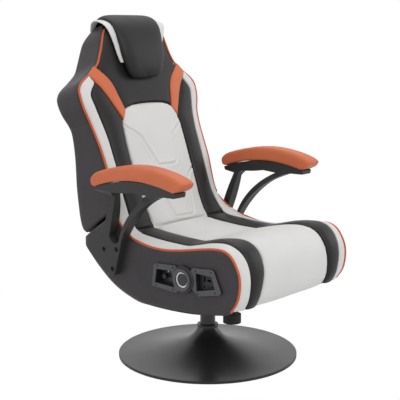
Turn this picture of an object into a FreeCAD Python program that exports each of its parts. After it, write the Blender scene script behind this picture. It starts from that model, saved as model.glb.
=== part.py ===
import FreeCAD, Part
import math
import os
import Sketcher

# A pedestal gaming chair: a trumpet base, a swivel column, a rocking mechanism, an upholstered
# seat with arms and a control panel, and a back that folds forward onto the seat.
# Millimetres and degrees. The origin is on the floor under the column; the chair faces -Y.

Vector = FreeCAD.Vector
os.makedirs("parts", exist_ok=True)
doc = FreeCAD.newDocument("GamingChair")

# Driving dimensions, as written into the sheet

SIZES = {
    # Base
    "base_radius": 280, "base_rim": 8, "base_wall": 2, "flare_radius": 80, "flare_height": 45,
    "flare_curve": 590, "throat_curve": 78, "neck_radius": 30, "neck_height": 93,
    "ring_height": 4, "ring_depth": 14, "ring_lip": 1.6, "collar_radius": 34, "collar_height": 5,
    "socket_wall": 3.6, "socket_foot": 10, "floor_plate_radius": 190, "floor_plate_thick": 6,
    "washer_thick": 6,
    # Column and rocking mechanism
    "column_radius": 24, "column_wall": 4, "column_top": 146, "running_gap": 0.05,
    "plate_steel": 4, "bracket_half": 42, "tilt_y": 20, "tilt_z": 182, "pin_radius": 6,
    "tongue_y": 100, "tongue_top": 197, "tilt_plate_z": 206, "tilt_plate_thick": 5,
    "tilt_plate_half": 95, "bolt_radius": 5, "knob_radius": 28, "knob_height": 27,
    "knob_bottom": 121, "spring_radius": 15, "spring_wire": 4,
    # Seat
    "seat_half": 258, "seat_drop": 0, "pad_thick": 34, "side_thick": 20, "board_thick": 12,
    "deck_top": 362, "cover_thick": 3, "seam_gap": 0.4, "piping_radius": 3.2,
    # Back and its fold
    "recline": 19, "pivot_y": 107, "pivot_z": 412, "back_side_thick": 15, "back_board_depth": 46, "frame_tube": 20,
    "fold_pin_radius": 5, "fold_eye": 9, "fold_plate": 4,
    # Arms
    "arm_web": 28, "arm_lean": 18, "rail_half": 23, "rail_thick": 12, "pad_half": 29,
    "arm_bolt_radius": 3, "arm_head_radius": 7, "arm_y": 130, "arm_z": 306,
    # Control panel
    "bezel_proud": 6, "tray_depth": 18, "tray_wall": 2.4, "dial_radius": 40, "dial_proud": 10,
    "dial_y": -137, "dial_z": 315, "light_outer": 22.5, "light_inner": 18.5, "cap_radius": 17.6,
    "volume_inner": 23.2, "volume_outer": 33, "volume_proud": 5, "small_knob": 6.5,
    "button_radius": 3.2, "button_travel": 1.5, "panel_screw": 2.2,
}


class Size:
    """A number that carries the sheet expression which gives it."""

    def __init__(self, value, text):
        self.value = float(value)
        self.text = text

    def __add__(self, other):
        other = sized(other)
        return Size(self.value + other.value, "(" + self.text + " + " + other.text + ")")

    def __sub__(self, other):
        other = sized(other)
        return Size(self.value - other.value, "(" + self.text + " - " + other.text + ")")

    def __mul__(self, other):
        other = sized(other)
        return Size(self.value * other.value, "(" + self.text + " * " + other.text + ")")

    def __truediv__(self, other):
        other = sized(other)
        return Size(self.value / other.value, "(" + self.text + " / " + other.text + ")")

    def __rsub__(self, other):
        return sized(other) - self

    def __neg__(self):
        return self * -1

    def __float__(self):
        return self.value

    __radd__ = __add__
    __rmul__ = __mul__


def sized(number):
    """The number as a Size, with itself as its expression."""
    if isinstance(number, Size):
        return number
    return Size(number, "(" + repr(float(number)) + ")")


class Sheet:
    """The driving dimensions, one attribute each."""


def make_sheet():
    """Writes the driving dimensions into a spreadsheet and returns them as Sizes."""
    sheet = doc.addObject("Spreadsheet::Sheet", "Sizes")
    sizes = Sheet()
    for row, (name, number) in enumerate(SIZES.items(), start=1):
        sheet.set("A" + str(row), name)
        sheet.set("B" + str(row), str(number))
        sheet.setAlias("B" + str(row), name)
        setattr(sizes, name, Size(number, "Sizes." + name))
    doc.recompute()
    return sizes


S = make_sheet()

# Widths that follow the seat's, so that the back, the fold and the cushions stay together
S.waist_half = S.seat_half * 0.907
S.shoulder_half = S.seat_half * 1.0194
S.head_half = S.seat_half * 0.5194
S.fold_inner = S.seat_half * 0.8233
WIDE = S.seat_half.value / 258


# Helpers for sketched pieces

def new_body(label):
    """An empty body that makes one piece."""
    body = doc.addObject("PartDesign::Body", label)
    body.Label = label
    return body


def sketch_on(body, role, lift=0):
    """A sketch on one of the body's own origin planes, lifted along the plane's normal."""
    plane = [feature for feature in body.Origin.OriginFeatures if feature.Role == role][0]
    sketch = body.newObject("Sketcher::SketchObject", body.Label + "_sketch")
    sketch.AttachmentSupport = [(plane, "")]
    sketch.MapMode = "FlatFace"
    sketch.setExpression("AttachmentOffset.Base.z", sized(lift).text)
    return sketch


def constrain(sketch, constraint, size):
    """Adds a dimension to the sketch and binds it to the size's expression."""
    index = sketch.addConstraint(constraint)
    sketch.setExpression("Constraints[" + str(index) + "]", sized(size).text)


def bulge_point(start, end, radius):
    """The middle of the arc from start to end; a positive radius bulges to the right of travel."""
    chord = end.sub(start)
    sag = abs(radius) - math.sqrt(radius * radius - chord.Length ** 2 / 4)
    right = Vector(chord.y, -chord.x, 0).normalize()
    return start.add(end).multiply(0.5).add(right.multiply(math.copysign(sag, radius)))


def outline(sketch, corners, arcs=None):
    """A closed loop through the corners; arcs gives the signed radius of a side by its number."""
    arcs = arcs or {}
    spots = [Vector(float(a), float(b), 0) for a, b in corners]
    ends = []
    for side, start in enumerate(spots):
        end = spots[(side + 1) % len(spots)]
        if side in arcs:
            middle = bulge_point(start, end, float(arcs[side]))
            forward = float(arcs[side]) > 0
            through = (start, middle, end) if forward else (end, middle, start)
            index = sketch.addGeometry(Part.Arc(*through))
        else:
            forward = True
            index = sketch.addGeometry(Part.LineSegment(start, end))
        ends.append((index, 1 if forward else 2, 2 if forward else 1))
    for side, (a, b) in enumerate(corners):
        index, first, last = ends[side]
        following = ends[(side + 1) % len(ends)]
        sketch.addConstraint(Sketcher.Constraint("Coincident", index, last, following[0], following[1]))
        constrain(sketch, Sketcher.Constraint("DistanceX", -1, 1, index, first, float(a)), a)
        constrain(sketch, Sketcher.Constraint("DistanceY", -1, 1, index, first, float(b)), b)
        if side in arcs:
            radius = arcs[side]
            if float(radius) < 0:
                radius = -sized(radius)
            constrain(sketch, Sketcher.Constraint("Radius", index, float(radius)), radius)


def circle(sketch, across, up, radius):
    """A circle with its centre and radius bound."""
    centre = Vector(float(across), float(up), 0)
    index = sketch.addGeometry(Part.Circle(centre, Vector(0, 0, 1), float(radius)))
    constrain(sketch, Sketcher.Constraint("DistanceX", -1, 1, index, 3, centre.x), across)
    constrain(sketch, Sketcher.Constraint("DistanceY", -1, 1, index, 3, centre.y), up)
    constrain(sketch, Sketcher.Constraint("Radius", index, float(radius)), radius)


def pad(body, sketch, length, back=False, both=False):
    """Grows the sketch along its normal, against it, or both ways."""
    feature = body.newObject("PartDesign::Pad", body.Label + "_pad")
    feature.Profile = sketch
    feature.setExpression("Length", sized(length).text)
    feature.SideType = "Symmetric" if both else "One side"
    feature.Reversed = back
    return feature


def pocket(body, sketch, depth, back=False, both=False):
    """Cuts the sketch against its normal, along it, or both ways."""
    feature = body.newObject("PartDesign::Pocket", body.Label + "_pocket")
    feature.Profile = sketch
    feature.setExpression("Length", sized(depth).text)
    feature.SideType = "Symmetric" if both else "One side"
    feature.Reversed = back
    return feature


def turned(label, corners, arcs=None):
    """A piece of revolution about the column's axis: corners are radius and height."""
    body = new_body(label)
    sketch = sketch_on(body, "XZ_Plane")
    outline(sketch, corners, arcs)
    feature = body.newObject("PartDesign::Revolution", label + "_turn")
    feature.Profile = sketch
    feature.ReferenceAxis = (sketch, ["V_Axis"])
    feature.Angle = 360
    return body


def round_edges(body, radius, wanted):
    """Rounds the edges of the body's last shape that the wanted function picks."""
    doc.recompute()
    tip = body.Tip
    names = ["Edge" + str(i) for i, edge in enumerate(tip.Shape.Edges, start=1) if wanted(edge)]
    feature = body.newObject("PartDesign::Fillet", body.Label + "_round")
    feature.Base = (tip, names)
    feature.setExpression("Radius", sized(radius).text)
    return feature


def place(piece, x=0, y=0, z=0, axis=None, angle=0):
    """Binds where the piece stands, and its turn about the axis."""
    if axis is not None:
        piece.Placement = FreeCAD.Placement(Vector(0, 0, 0), FreeCAD.Rotation(axis, float(angle)))
        piece.setExpression("Placement.Rotation.Angle", sized(angle).text)
    for name, number in (("x", x), ("y", y), ("z", z)):
        piece.setExpression("Placement.Base." + name, sized(number).text)
    return piece


def feature_of(label, shape):
    """A piece whose shape is worked out here."""
    piece = doc.addObject("Part::Feature", label)
    piece.Label = label
    piece.Shape = shape
    return piece


# Base: ring, trumpet, floor plate, socket, collar and washer

def make_base():
    ring_inner = S.base_radius - S.ring_depth
    ring_outer = S.base_radius + S.ring_lip
    turned("base_edge_ring", [
        (ring_inner, 0), (ring_outer, 0), (ring_outer, S.base_rim), (S.base_radius, S.base_rim),
        (S.base_radius, S.ring_height), (ring_inner, S.ring_height)])

    neck_inner = S.neck_radius - S.base_wall
    inner_flare_radius = S.flare_radius - S.base_wall * 0.4
    inner_flare_height = S.flare_height - S.base_wall * 0.92
    turned("base_trumpet", [
        (S.base_radius, S.ring_height), (S.base_radius, S.base_rim),
        (S.flare_radius, S.flare_height), (S.neck_radius, S.neck_height),
        (neck_inner, S.neck_height), (inner_flare_radius, inner_flare_height),
        (S.base_radius - S.base_wall * 2, S.ring_height)],
        {1: -S.flare_curve, 2: -S.throat_curve,
         4: S.throat_curve + S.base_wall, 5: S.flare_curve + S.base_wall})

    socket_inner = S.column_radius + S.running_gap
    socket_outer = socket_inner + S.socket_wall
    foot = S.floor_plate_thick
    turned("base_socket", [
        (0, foot), (socket_outer, foot), (socket_outer, S.neck_height), (socket_inner, S.neck_height),
        (socket_inner, foot + S.socket_foot), (0, foot + S.socket_foot)])

    plate = new_body("base_floor_plate")
    sketch = sketch_on(plate, "XY_Plane")
    circle(sketch, 0, 0, S.floor_plate_radius)
    pad(plate, sketch, S.floor_plate_thick)
    hole = sketch_on(plate, "XY_Plane")
    circle(hole, S.floor_plate_radius * 0.62, 0, S.floor_plate_radius * 0.2)
    lightening = pocket(plate, hole, S.floor_plate_thick * 3, both=True)
    pattern = plate.newObject("PartDesign::PolarPattern", "base_floor_plate_holes")
    pattern.Originals = [lightening]
    pattern.Axis = (hole, ["N_Axis"])
    pattern.Angle = 360
    pattern.Occurrences = 5
    plate.Tip = pattern

    turned("neck_collar", [
        (socket_inner + 0.4, S.neck_height), (S.neck_radius, S.neck_height),
        (S.neck_radius + 2.4, S.neck_height - 4), (S.collar_radius, S.neck_height - 4),
        (S.collar_radius, S.neck_height + S.collar_height - 3),
        (S.collar_radius - 3, S.neck_height + S.collar_height),
        (socket_inner + 0.4, S.neck_height + S.collar_height)], {4: 3})

    washer_low = foot + S.socket_foot
    turned("thrust_washer", [
        (8, washer_low), (S.column_radius - 0.5, washer_low),
        (S.column_radius - 0.5, washer_low + S.washer_thick), (8, washer_low + S.washer_thick)])
    return washer_low + S.washer_thick


# Swivel: column, folded tilt bracket and tension spring

def make_swivel(column_bottom):
    bore = S.column_radius - S.column_wall
    turned("swivel_column", [
        (bore, column_bottom), (S.column_radius, column_bottom), (S.column_radius, S.column_top),
        (bore, S.column_top)])

    bracket = new_body("tilt_bracket")
    fold = sketch_on(bracket, "YZ_Plane")
    low = S.column_top
    high = S.tongue_top
    steel = S.plate_steel
    outline(fold, [
        (44, low), (44, low + steel), (-56, low + steel), (-84, high), (-S.tongue_y - 24, high),
        (-S.tongue_y - 24, high - steel), (-82, high - steel), (-54, low)])
    pad(bracket, fold, S.bracket_half * 2, both=True)
    for side in (-1, 1):
        ear = sketch_on(bracket, "YZ_Plane", S.bracket_half * side)
        outline(ear, [
            (44, low), (S.tilt_y + 16, S.tilt_z + 4), (S.tilt_y - 16, S.tilt_z + 4),
            (-30, low + 18), (-62, low + 16), (-54, low)], {1: 18})
        pad(bracket, ear, steel, back=side > 0)
    stops = sketch_on(bracket, "XY_Plane", high - steel / 2)
    for side in (-1, 1):
        circle(stops, 28 * side, -S.tongue_y, 7)
    pad(bracket, stops, S.tilt_plate_z - S.running_gap - high + steel / 2)
    pin = sketch_on(bracket, "YZ_Plane")
    circle(pin, S.tilt_y, S.tilt_z, S.pin_radius + S.running_gap)
    pocket(bracket, pin, S.bracket_half * 4, both=True)
    slot = sketch_on(bracket, "XY_Plane", high)
    room = S.bolt_radius + 2.5
    outline(slot, [
        (-room, -S.tongue_y - 9), (room, -S.tongue_y - 9), (room, -S.tongue_y + 9),
        (-room, -S.tongue_y + 9)], {0: room * 1.02, 2: room * 1.02})
    pocket(bracket, slot, steel * 3, both=True)
    return high - steel


def helix_point(turn, pitch):
    """A point of the spring's centre line and its direction there, after so many turns."""
    radius = S.spring_radius.value
    angle = 2 * math.pi * turn
    point = Vector(radius * math.cos(angle), radius * math.sin(angle), pitch * turn)
    along = Vector(-radius * math.sin(angle), radius * math.cos(angle), pitch / (2 * math.pi))
    return point, along * (1 / along.Length)


def rounded(start, apex, end):
    """The arc that leaves start towards the apex and reaches end from it."""
    middle = (start + end) * 0.5
    reach, height = (end - start).Length / 2, (apex - middle).Length
    sag = reach * math.tan(math.atan2(height, reach) / 2)
    return Part.Arc(start, middle + (apex - middle) * (sag / height), end).toShape()


def biarc(start, start_along, end, end_along):
    """Two arcs from start to end that keep both directions and meet smoothly."""
    chord = end - start
    sum_along = start_along + end_along
    bend = 2 * (1 - start_along.dot(end_along))
    part = chord.dot(sum_along)
    reach = (math.sqrt(part * part + bend * chord.dot(chord)) - part) / bend
    first, second = start + start_along * reach, end - end_along * reach
    joint = (first + second) * 0.5
    return [rounded(start, first, joint), rounded(joint, second, end)]


def make_spring(top, bottom):
    """The tension spring: a round wire on arcs of under a quarter turn, four turns in all."""
    turns = 4
    wire = S.spring_wire.value
    rise = top.value - bottom.value - wire - 0.6
    arcs = []
    for quarter in range(turns * 4):
        start, start_along = helix_point(quarter / 4, rise / turns)
        end, end_along = helix_point((quarter + 1) / 4, rise / turns)
        arcs += biarc(start, start_along, end, end_along)
    path = Part.Wire(arcs)
    start, along = helix_point(0, rise / turns)
    ring = Part.Wire(Part.Circle(start, along, wire / 2).toShape())
    coil = path.makePipeShell([ring], True, False)
    centres = path.discretize(400)
    apart = len(centres) // (turns * 2)
    gap = min(a.distanceToPoint(b) for i, a in enumerate(centres) for b in centres[i + apart:]) - wire
    print("tension_spring least gap", round(gap, 2), "mm")
    if gap < 0.4:
        raise RuntimeError("the tension spring's turns touch")
    coil.translate(Vector(0, -S.tongue_y.value, bottom.value + wire / 2 + 0.3))
    feature_of("tension_spring", coil)


# Seat mechanism: tilt plate with its ears, pin, bolt and knob

def make_tilt_plate():
    plate = new_body("tilt_plate")
    low = S.tilt_plate_z
    flat = sketch_on(plate, "XY_Plane", low)
    half = S.tilt_plate_half
    front = -S.tongue_y - 26
    outline(flat, [
        (-half, -70), (-half + 30, front), (half - 30, front), (half, -70), (half, 82),
        (half - 12, 94), (-half + 12, 94), (-half, 82)])
    pad(plate, flat, S.tilt_plate_thick)
    for side in (-1, 1):
        ear = sketch_on(plate, "YZ_Plane", (S.bracket_half + 0.5) * side)
        outline(ear, [
            (S.tilt_y - 34, low), (S.tilt_y - 13, S.tilt_z - 5), (S.tilt_y + 13, S.tilt_z - 5),
            (S.tilt_y + 34, low)], {1: 14})
        pad(plate, ear, S.plate_steel, back=side < 0)
    pin = sketch_on(plate, "YZ_Plane")
    circle(pin, S.tilt_y, S.tilt_z, S.pin_radius + S.running_gap)
    pocket(plate, pin, S.bracket_half * 4, both=True)
    holes = sketch_on(plate, "XY_Plane", low)
    for across in (-1, 1):
        for along in (-52, 72):
            circle(holes, (half - 18) * across, along, 4.2)
    circle(holes, 0, -S.tongue_y, S.bolt_radius + 0.2)
    pocket(plate, holes, S.tilt_plate_thick * 3, both=True)


def cylinder(label, radius, height):
    """A plain round bar along its own Z."""
    piece = doc.addObject("Part::Cylinder", label)
    piece.Label = label
    piece.setExpression("Radius", sized(radius).text)
    piece.setExpression("Height", sized(height).text)
    return piece


def join(label, kind, *pieces):
    """Several pieces made one under their own name: a MultiFuse or a Compound."""
    piece = doc.addObject("Part::" + kind, label)
    piece.Label = label
    if kind == "Compound":
        piece.Links = list(pieces)
    else:
        piece.Shapes = list(pieces)
    return piece


def make_pins():
    reach = S.bracket_half + S.plate_steel + 1
    shaft = cylinder("tilt_pin_shaft", S.pin_radius, reach * 2 + 4)
    place(shaft, -reach - 2, S.tilt_y, S.tilt_z, Vector(0, 1, 0), 90)
    heads = []
    for side in (-1, 1):
        head = cylinder("tilt_pin_head", S.pin_radius + 3, 3)
        place(head, reach * side - (3 if side < 0 else 0), S.tilt_y, S.tilt_z, Vector(0, 1, 0), 90)
        heads.append(head)
    join("tilt_pin", "MultiFuse", shaft, *heads)

    top = S.tilt_plate_z + S.tilt_plate_thick
    shank = cylinder("tension_bolt_shank", S.bolt_radius, top - S.knob_bottom - 4)
    place(shank, 0, -S.tongue_y, S.knob_bottom + 4)
    head = doc.addObject("Part::Prism", "tension_bolt_head")
    head.Polygon = 6
    head.setExpression("Circumradius", (S.bolt_radius * 1.9).text)
    head.setExpression("Height", (S.bolt_radius * 1.2).text)
    place(head, 0, -S.tongue_y, top)
    join("tension_bolt", "MultiFuse", shank, head)


def make_tension_knob():
    knob = new_body("tension_knob")
    base = sketch_on(knob, "XY_Plane")
    circle(base, 0, 0, S.knob_radius)
    pad(knob, base, S.knob_height)
    flute = sketch_on(knob, "XY_Plane")
    circle(flute, S.knob_radius + 1.4, 0, 2.6)
    groove = pocket(knob, flute, S.knob_height - 4, back=True)
    pattern = knob.newObject("PartDesign::PolarPattern", "tension_knob_flutes")
    pattern.Originals = [groove]
    pattern.Axis = (flute, ["N_Axis"])
    pattern.Angle = 360
    pattern.Occurrences = 24
    knob.Tip = pattern
    bore = sketch_on(knob, "XY_Plane", S.knob_height)
    circle(bore, 0, 0, S.bolt_radius + S.running_gap)
    pocket(knob, bore, S.knob_height - 3)
    dish = sketch_on(knob, "XY_Plane")
    circle(dish, 0, 0, S.knob_radius - 8)
    pocket(knob, dish, 1.5, back=True)
    place(knob, 0, -S.tongue_y, S.knob_bottom)


# Upholstery outlines. Each table maps a station to a size; a smooth curve runs between the stations.

def smooth(table, at):
    """The table's value at a station, on a cubic curve through its rows."""
    if at <= table[0][0]:
        return table[0][1]
    if at >= table[-1][0]:
        return table[-1][1]
    i = max(k for k in range(len(table) - 1) if table[k][0] <= at)
    slopes = []
    for k in (i, i + 1):
        low, high = table[max(k - 1, 0)], table[min(k + 1, len(table) - 1)]
        slopes.append((high[1] - low[1]) / (high[0] - low[0]))
    (x0, y0), (x1, y1) = table[i], table[i + 1]
    t = (at - x0) / (x1 - x0)
    span = x1 - x0
    return (y0 * (1 + 2 * t) * (1 - t) ** 2 + slopes[0] * span * t * (1 - t) ** 2
            + y1 * t * t * (3 - 2 * t) - slopes[1] * span * t * t * (1 - t))


# The seat's surface from the crease over the front roll and down: for each station the middle
# surface (y, z), the surface at the piping (y, z), and the half widths of the centre cushion and
# of the black bolster's outer seam.
SEAT_STATIONS = [
    (105, 411, 93, 412, 124, 203), (60, 406, 60, 400, 124, 205), (0, 402, 0, 389, 124, 207),
    (-60, 400, -60, 388, 125, 208), (-112, 400, -110, 394, 127, 209),
    (-150, 408, -150, 401, 133, 210), (-200, 421, -200, 411, 140, 212),
    (-250, 428, -245, 418, 142, 216), (-287, 425, -282, 418, 144, 221),
    (-315, 410, -308, 405, 147, 219), (-334, 385, -327, 380, 150, 217),
    (-344, 352, -338, 352, 154, 216), (-344, 315, -339, 318, 160, 215),
    (-336, 278, -330, 282, 164, 214), (-318, 246, -307, 248, 164, 212),
]
# The side panel's lower edge, from the front up to the back's corner.
SEAT_LOWER = [(-293, 239), (-212, 225), (-155, 217.5), (-77, 212.8), (0, 212.4), (62, 217),
              (147, 246), (219, 294), (283, 354)]

# The back, measured from the fold pivot: height up the back, then a half width or a depth.
BACK_EDGE_DEPTH = [(20, 13), (45, 27), (76, 38), (100, 40), (142, 36), (200, 32), (262, 35),
                   (315, 40), (365, 43), (422, 39), (457, 38), (480, 37), (504, 32), (531, 26),
                   (559, 22), (590, 16), (622, 11), (645, 12)]
BACK_SEAM_HALF = [(7, 203), (49, 203), (80, 200), (119, 200), (202, 199), (244, 200), (301, 202),
                  (346, 208), (399, 219), (431, 226), (445, 223), (460, 213), (475, 201),
                  (485, 206), (496, 213)]
BACK_BOLSTER_INNER = [(0, 124), (57, 126), (95, 128), (116, 130), (198, 133), (276, 133),
                      (326, 130), (353, 126), (379, 138), (407, 152), (432, 166), (456, 181),
                      (472, 194)]
BACK_PAD_HALF = [(0, 124), (57, 126), (95, 128), (116, 130), (198, 133), (276, 133), (326, 130),
                 (350, 126), (366, 121), (379, 112), (389, 96), (396, 70)]
BACK_FRONT = [(0, 3), (57, 11.5), (95, 14.5), (116, 16), (198, 20), (276, 21), (350, 22), (400, 23),
              (450, 24), (500, 22), (531, 19), (559, 15), (590, 9), (622, 3), (645, 4)]
UPPER_PANEL_HALF = [(398, 110), (430, 119), (458, 127), (481, 140), (500, 158), (520, 178),
                    (531, 173), (559, 157), (590, 144), (622, 131), (645, 117)]
BACK_REAR = [(36, 181), (48, 196), (71, 203), (111, 203), (176, 192), (273, 162), (338, 143),
             (363, 141), (403, 147), (438, 151), (477, 150), (504, 150), (534, 143), (581, 132),
             (629, 112), (651, 89), (664, 56), (660, 34)]
# Rows across each shoulder strap: inner corner, then outer corner, as half width and height.
STRAP_ROWS = [(178, 519, 210, 496.5), (158, 500, 197, 476), (140, 481, 181, 457),
              (127, 458, 166, 433), (119, 430, 152, 408), (112, 405, 138, 380),
              (110, 387, 128, 358)]
# The headrest's path over the top of the head: outer height and depth, inner height and depth,
# half width.
HEADREST = [(474, 12, 478, 16, 44), (484, -6, 488, 13, 66), (510, -18, 514, 11, 80),
            (550, -25, 552, 6, 92), (590, -26, 592, 0, 97), (630, -20, 628, -6, 103),
            (664, -6, 650, -2, 108), (686, 16, 668, 22, 110), (692, 42, 673, 46, 108),
            (684, 68, 668, 66, 104), (664, 94, 654, 88, 98), (640, 112, 634, 104, 92)]
# Widths of the white wedge beside the headrest, one for each row above.
ACCENT_WIDTH = [0, 0, 3, 7, 12, 19, 25, 27, 24, 18, 9, 0]


def back_edge_half(up):
    """Half width of the back at the piping: waist, shoulder wing, and the narrow head."""
    table = [
        (20, S.waist_half.value + 12), (45, S.waist_half.value + 9), (97, S.waist_half.value + 3),
        (142, S.waist_half.value), (200, S.waist_half.value), (262, S.waist_half.value + 1),
        (315, S.waist_half.value + 5), (365, S.shoulder_half.value - 16),
        (405, S.shoulder_half.value - 4), (440, S.shoulder_half.value),
        (460, S.shoulder_half.value - 2), (480, S.shoulder_half.value - 17),
        (504, S.shoulder_half.value - 54), (531, S.head_half.value + 41),
        (559, S.head_half.value + 25), (590, S.head_half.value + 12), (622, S.head_half.value),
        (645, S.head_half.value - 16), (666, S.head_half.value - 34)]
    return smooth(table, up)


def back_front(half, up):
    """Depth of the back's front surface: flat in the middle, falling away to the piping."""
    middle = smooth(BACK_FRONT, up)
    edge = smooth(BACK_EDGE_DEPTH, up)
    return middle + (edge - middle) * min(1, half / back_edge_half(up)) ** 6


def row_loop(row, crown):
    """The closed loop of a row of corners; its first side is an arc that bulges outwards."""
    corners = [Vector(*corner) for corner in row]
    first, second = corners[0], corners[1]
    middle = (first + second) * 0.5
    heart = corners[2]
    for corner in corners[3:]:
        heart = heart + corner
    across = second - first
    outward = middle - heart * (1 / (len(corners) - 2))
    outward = outward - across * (outward.dot(across) / across.dot(across))
    top = middle + outward * (min(crown, across.Length / 3) / outward.Length)
    loop = corners[1:] + [first]
    return [Part.Arc(first, top, second).toShape()] + [
        Part.makeLine(a, b) for a, b in zip(loop, loop[1:])]


def ruled_form(rows, crown, first_crown=None):
    """A soft solid through rows of corners, with straight lines from one row to the next."""
    crowns = [crown] * len(rows)
    if first_crown is not None:
        crowns[0] = first_crown
    loops = [row_loop(row, height) for row, height in zip(rows, crowns)]
    faces = [Part.Face(Part.Wire(loops[0])), Part.Face(Part.Wire(loops[-1]))]
    for before, after in zip(loops, loops[1:]):
        faces += [Part.makeRuledSurface(a, b) for a, b in zip(before, after)]
    skin = Part.makeCompound(faces)
    skin.sewShape()
    form = Part.Solid(skin.Shells[0])
    if form.Volume < 0:
        form.reverse()
    return form


def largest(shape):
    """The biggest solid of a shape, without the crumbs of a cut."""
    return max(shape.Solids, key=lambda solid: solid.Volume)


def mirrored(rows):
    """The same rows on the other side of the chair."""
    return [[(-x, y, z) for x, y, z in row] for row in rows]


# Seat upholstery

def seat_path(column):
    """The (y, z) points of the middle surface (column 0) or of the piping (column 2)."""
    return [(station[column], station[column + 1] + S.seat_drop.value) for station in SEAT_STATIONS]


def seat_normals(path):
    """Outward normals (y, z) along a seat path."""
    normals = []
    for i in range(len(path)):
        before, after = path[max(i - 1, 0)], path[min(i + 1, len(path) - 1)]
        along = (after[0] - before[0], after[1] - before[1])
        length = math.hypot(*along)
        normals.append((along[1] / length, -along[0] / length))
    normals[0] = (0, 1)
    return normals


def seat_strip(inner, outer, thick, first=0):
    """Rows of a seat strip whose half widths are the inner and outer columns of the stations."""
    path = seat_path(0)
    normals = seat_normals(path)
    gap = S.seam_gap.value
    rows = []
    for (y, z), (ny, nz), station in list(zip(path, normals, SEAT_STATIONS))[first:]:
        low = -station[outer] * WIDE + gap if inner is None else station[inner] * WIDE + gap
        high = station[outer] * WIDE - gap
        inside_low = low + 3
        inside_high = high - 3
        rows.append([
            (low, y, z), (high, y, z), (inside_high, y - ny * thick, z - nz * thick),
            (inside_low, y - ny * thick, z - nz * thick)])
    return rows


def flat_row(start, end, inwards, corners):
    """A flat row: its first corner is start; the others lie at a share of the way to end, and deeper."""
    row = [start]
    for share, depth in corners:
        row.append(start + (end - start) * share + inwards * depth)
    return row


def seat_edge_rows():
    """Rows of the white band between the bolster's outer seam and the piping."""
    middle, edge = seat_path(0), seat_path(2)
    side_room = S.side_thick.value + S.seam_gap.value - 5.6
    normals = seat_normals(middle)
    half = S.seat_half.value
    gap = S.seam_gap.value
    rows = []
    for i, station in enumerate(SEAT_STATIONS):
        (y, z), (ey, ez), (ny, nz) = middle[i], edge[i], normals[i]
        if i == 0:
            y, ny, nz = ey, 0, 1
        start = Vector(station[5] * WIDE + gap, y, z)
        end = Vector(half - 5.6, ey - ny, ez - nz)
        wall = (end.x - start.x - side_room) / (end.x - start.x)
        rows.append(flat_row(start, end, Vector(0, -ny, -nz), [(1, 0), (wall, 3), (wall, 25), (0.06, 25)]))
    return rows


def tube_along(points, radius):
    """A round piping through the points, straight between them."""
    wires = []
    for i, point in enumerate(points):
        before, after = points[max(i - 1, 0)], points[min(i + 1, len(points) - 1)]
        along = Vector(*after).sub(Vector(*before))
        wires.append(Part.Wire(Part.Circle(Vector(*point), along, radius).toShape()))
    return Part.makeLoft(wires, True, True)


def seat_piping_points():
    """The piping from the front's foot over the seat's edge and up to the fold seam."""
    half = S.seat_half.value
    points = []
    path = seat_path(2)
    normals = seat_normals(path)
    for (y, z), (ny, nz) in list(zip(path, normals))[:0:-1]:
        points.append((half - 1.2, y - ny * 0.2, z - nz * 0.2))
    points += [(half - 6, 84, 406), (half - 10, 112, 420), (half - 13, 132, 433),
               (half - 16, 150, 448), (half - 20, 166, 465)]
    return points


def seat_side_face(inset):
    """The seat's side outline in the YZ plane, inset from the piping."""
    path = seat_path(2)
    normals = seat_normals(path)
    top = [Vector(0, y - ny * inset, z - nz * inset)
           for (y, z), (ny, nz) in list(zip(path, normals))[1:]]
    room = inset + 1
    rise = [Vector(0, 166 + inset * 0.3, 467 - room), Vector(0, 150, 447 - room),
            Vector(0, 132, 432 - room), Vector(0, 112, 419 - room), Vector(0, 84, 405 - room)]
    crest = Part.BSplineCurve()
    crest.interpolate(rise + top)
    keel = Part.BSplineCurve()
    keel.interpolate([Vector(0, y, z) for y, z in SEAT_LOWER])
    corner = [Vector(0, 283, 354), Vector(0, 275, 371), Vector(0, 284, 378), rise[0]]
    edges = [crest.toShape(), Part.makeLine(top[-1], Vector(0, *SEAT_LOWER[0])), keel.toShape()]
    edges += [Part.makeLine(a, b) for a, b in zip(corner, corner[1:])]
    return Part.Face(Part.Wire(edges))


def arm_bolt_spots():
    """The three bolt places of an arm, as y and z."""
    y, z = S.arm_y.value, S.arm_z.value
    return [(y, z), (y - 18, z + 62), (y + 36, z + 56)]


def round_bar(radius, start, end):
    """A round bar between two points."""
    along = Vector(*end).sub(Vector(*start))
    return Part.makeCylinder(radius, along.Length, Vector(*start), along)


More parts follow.
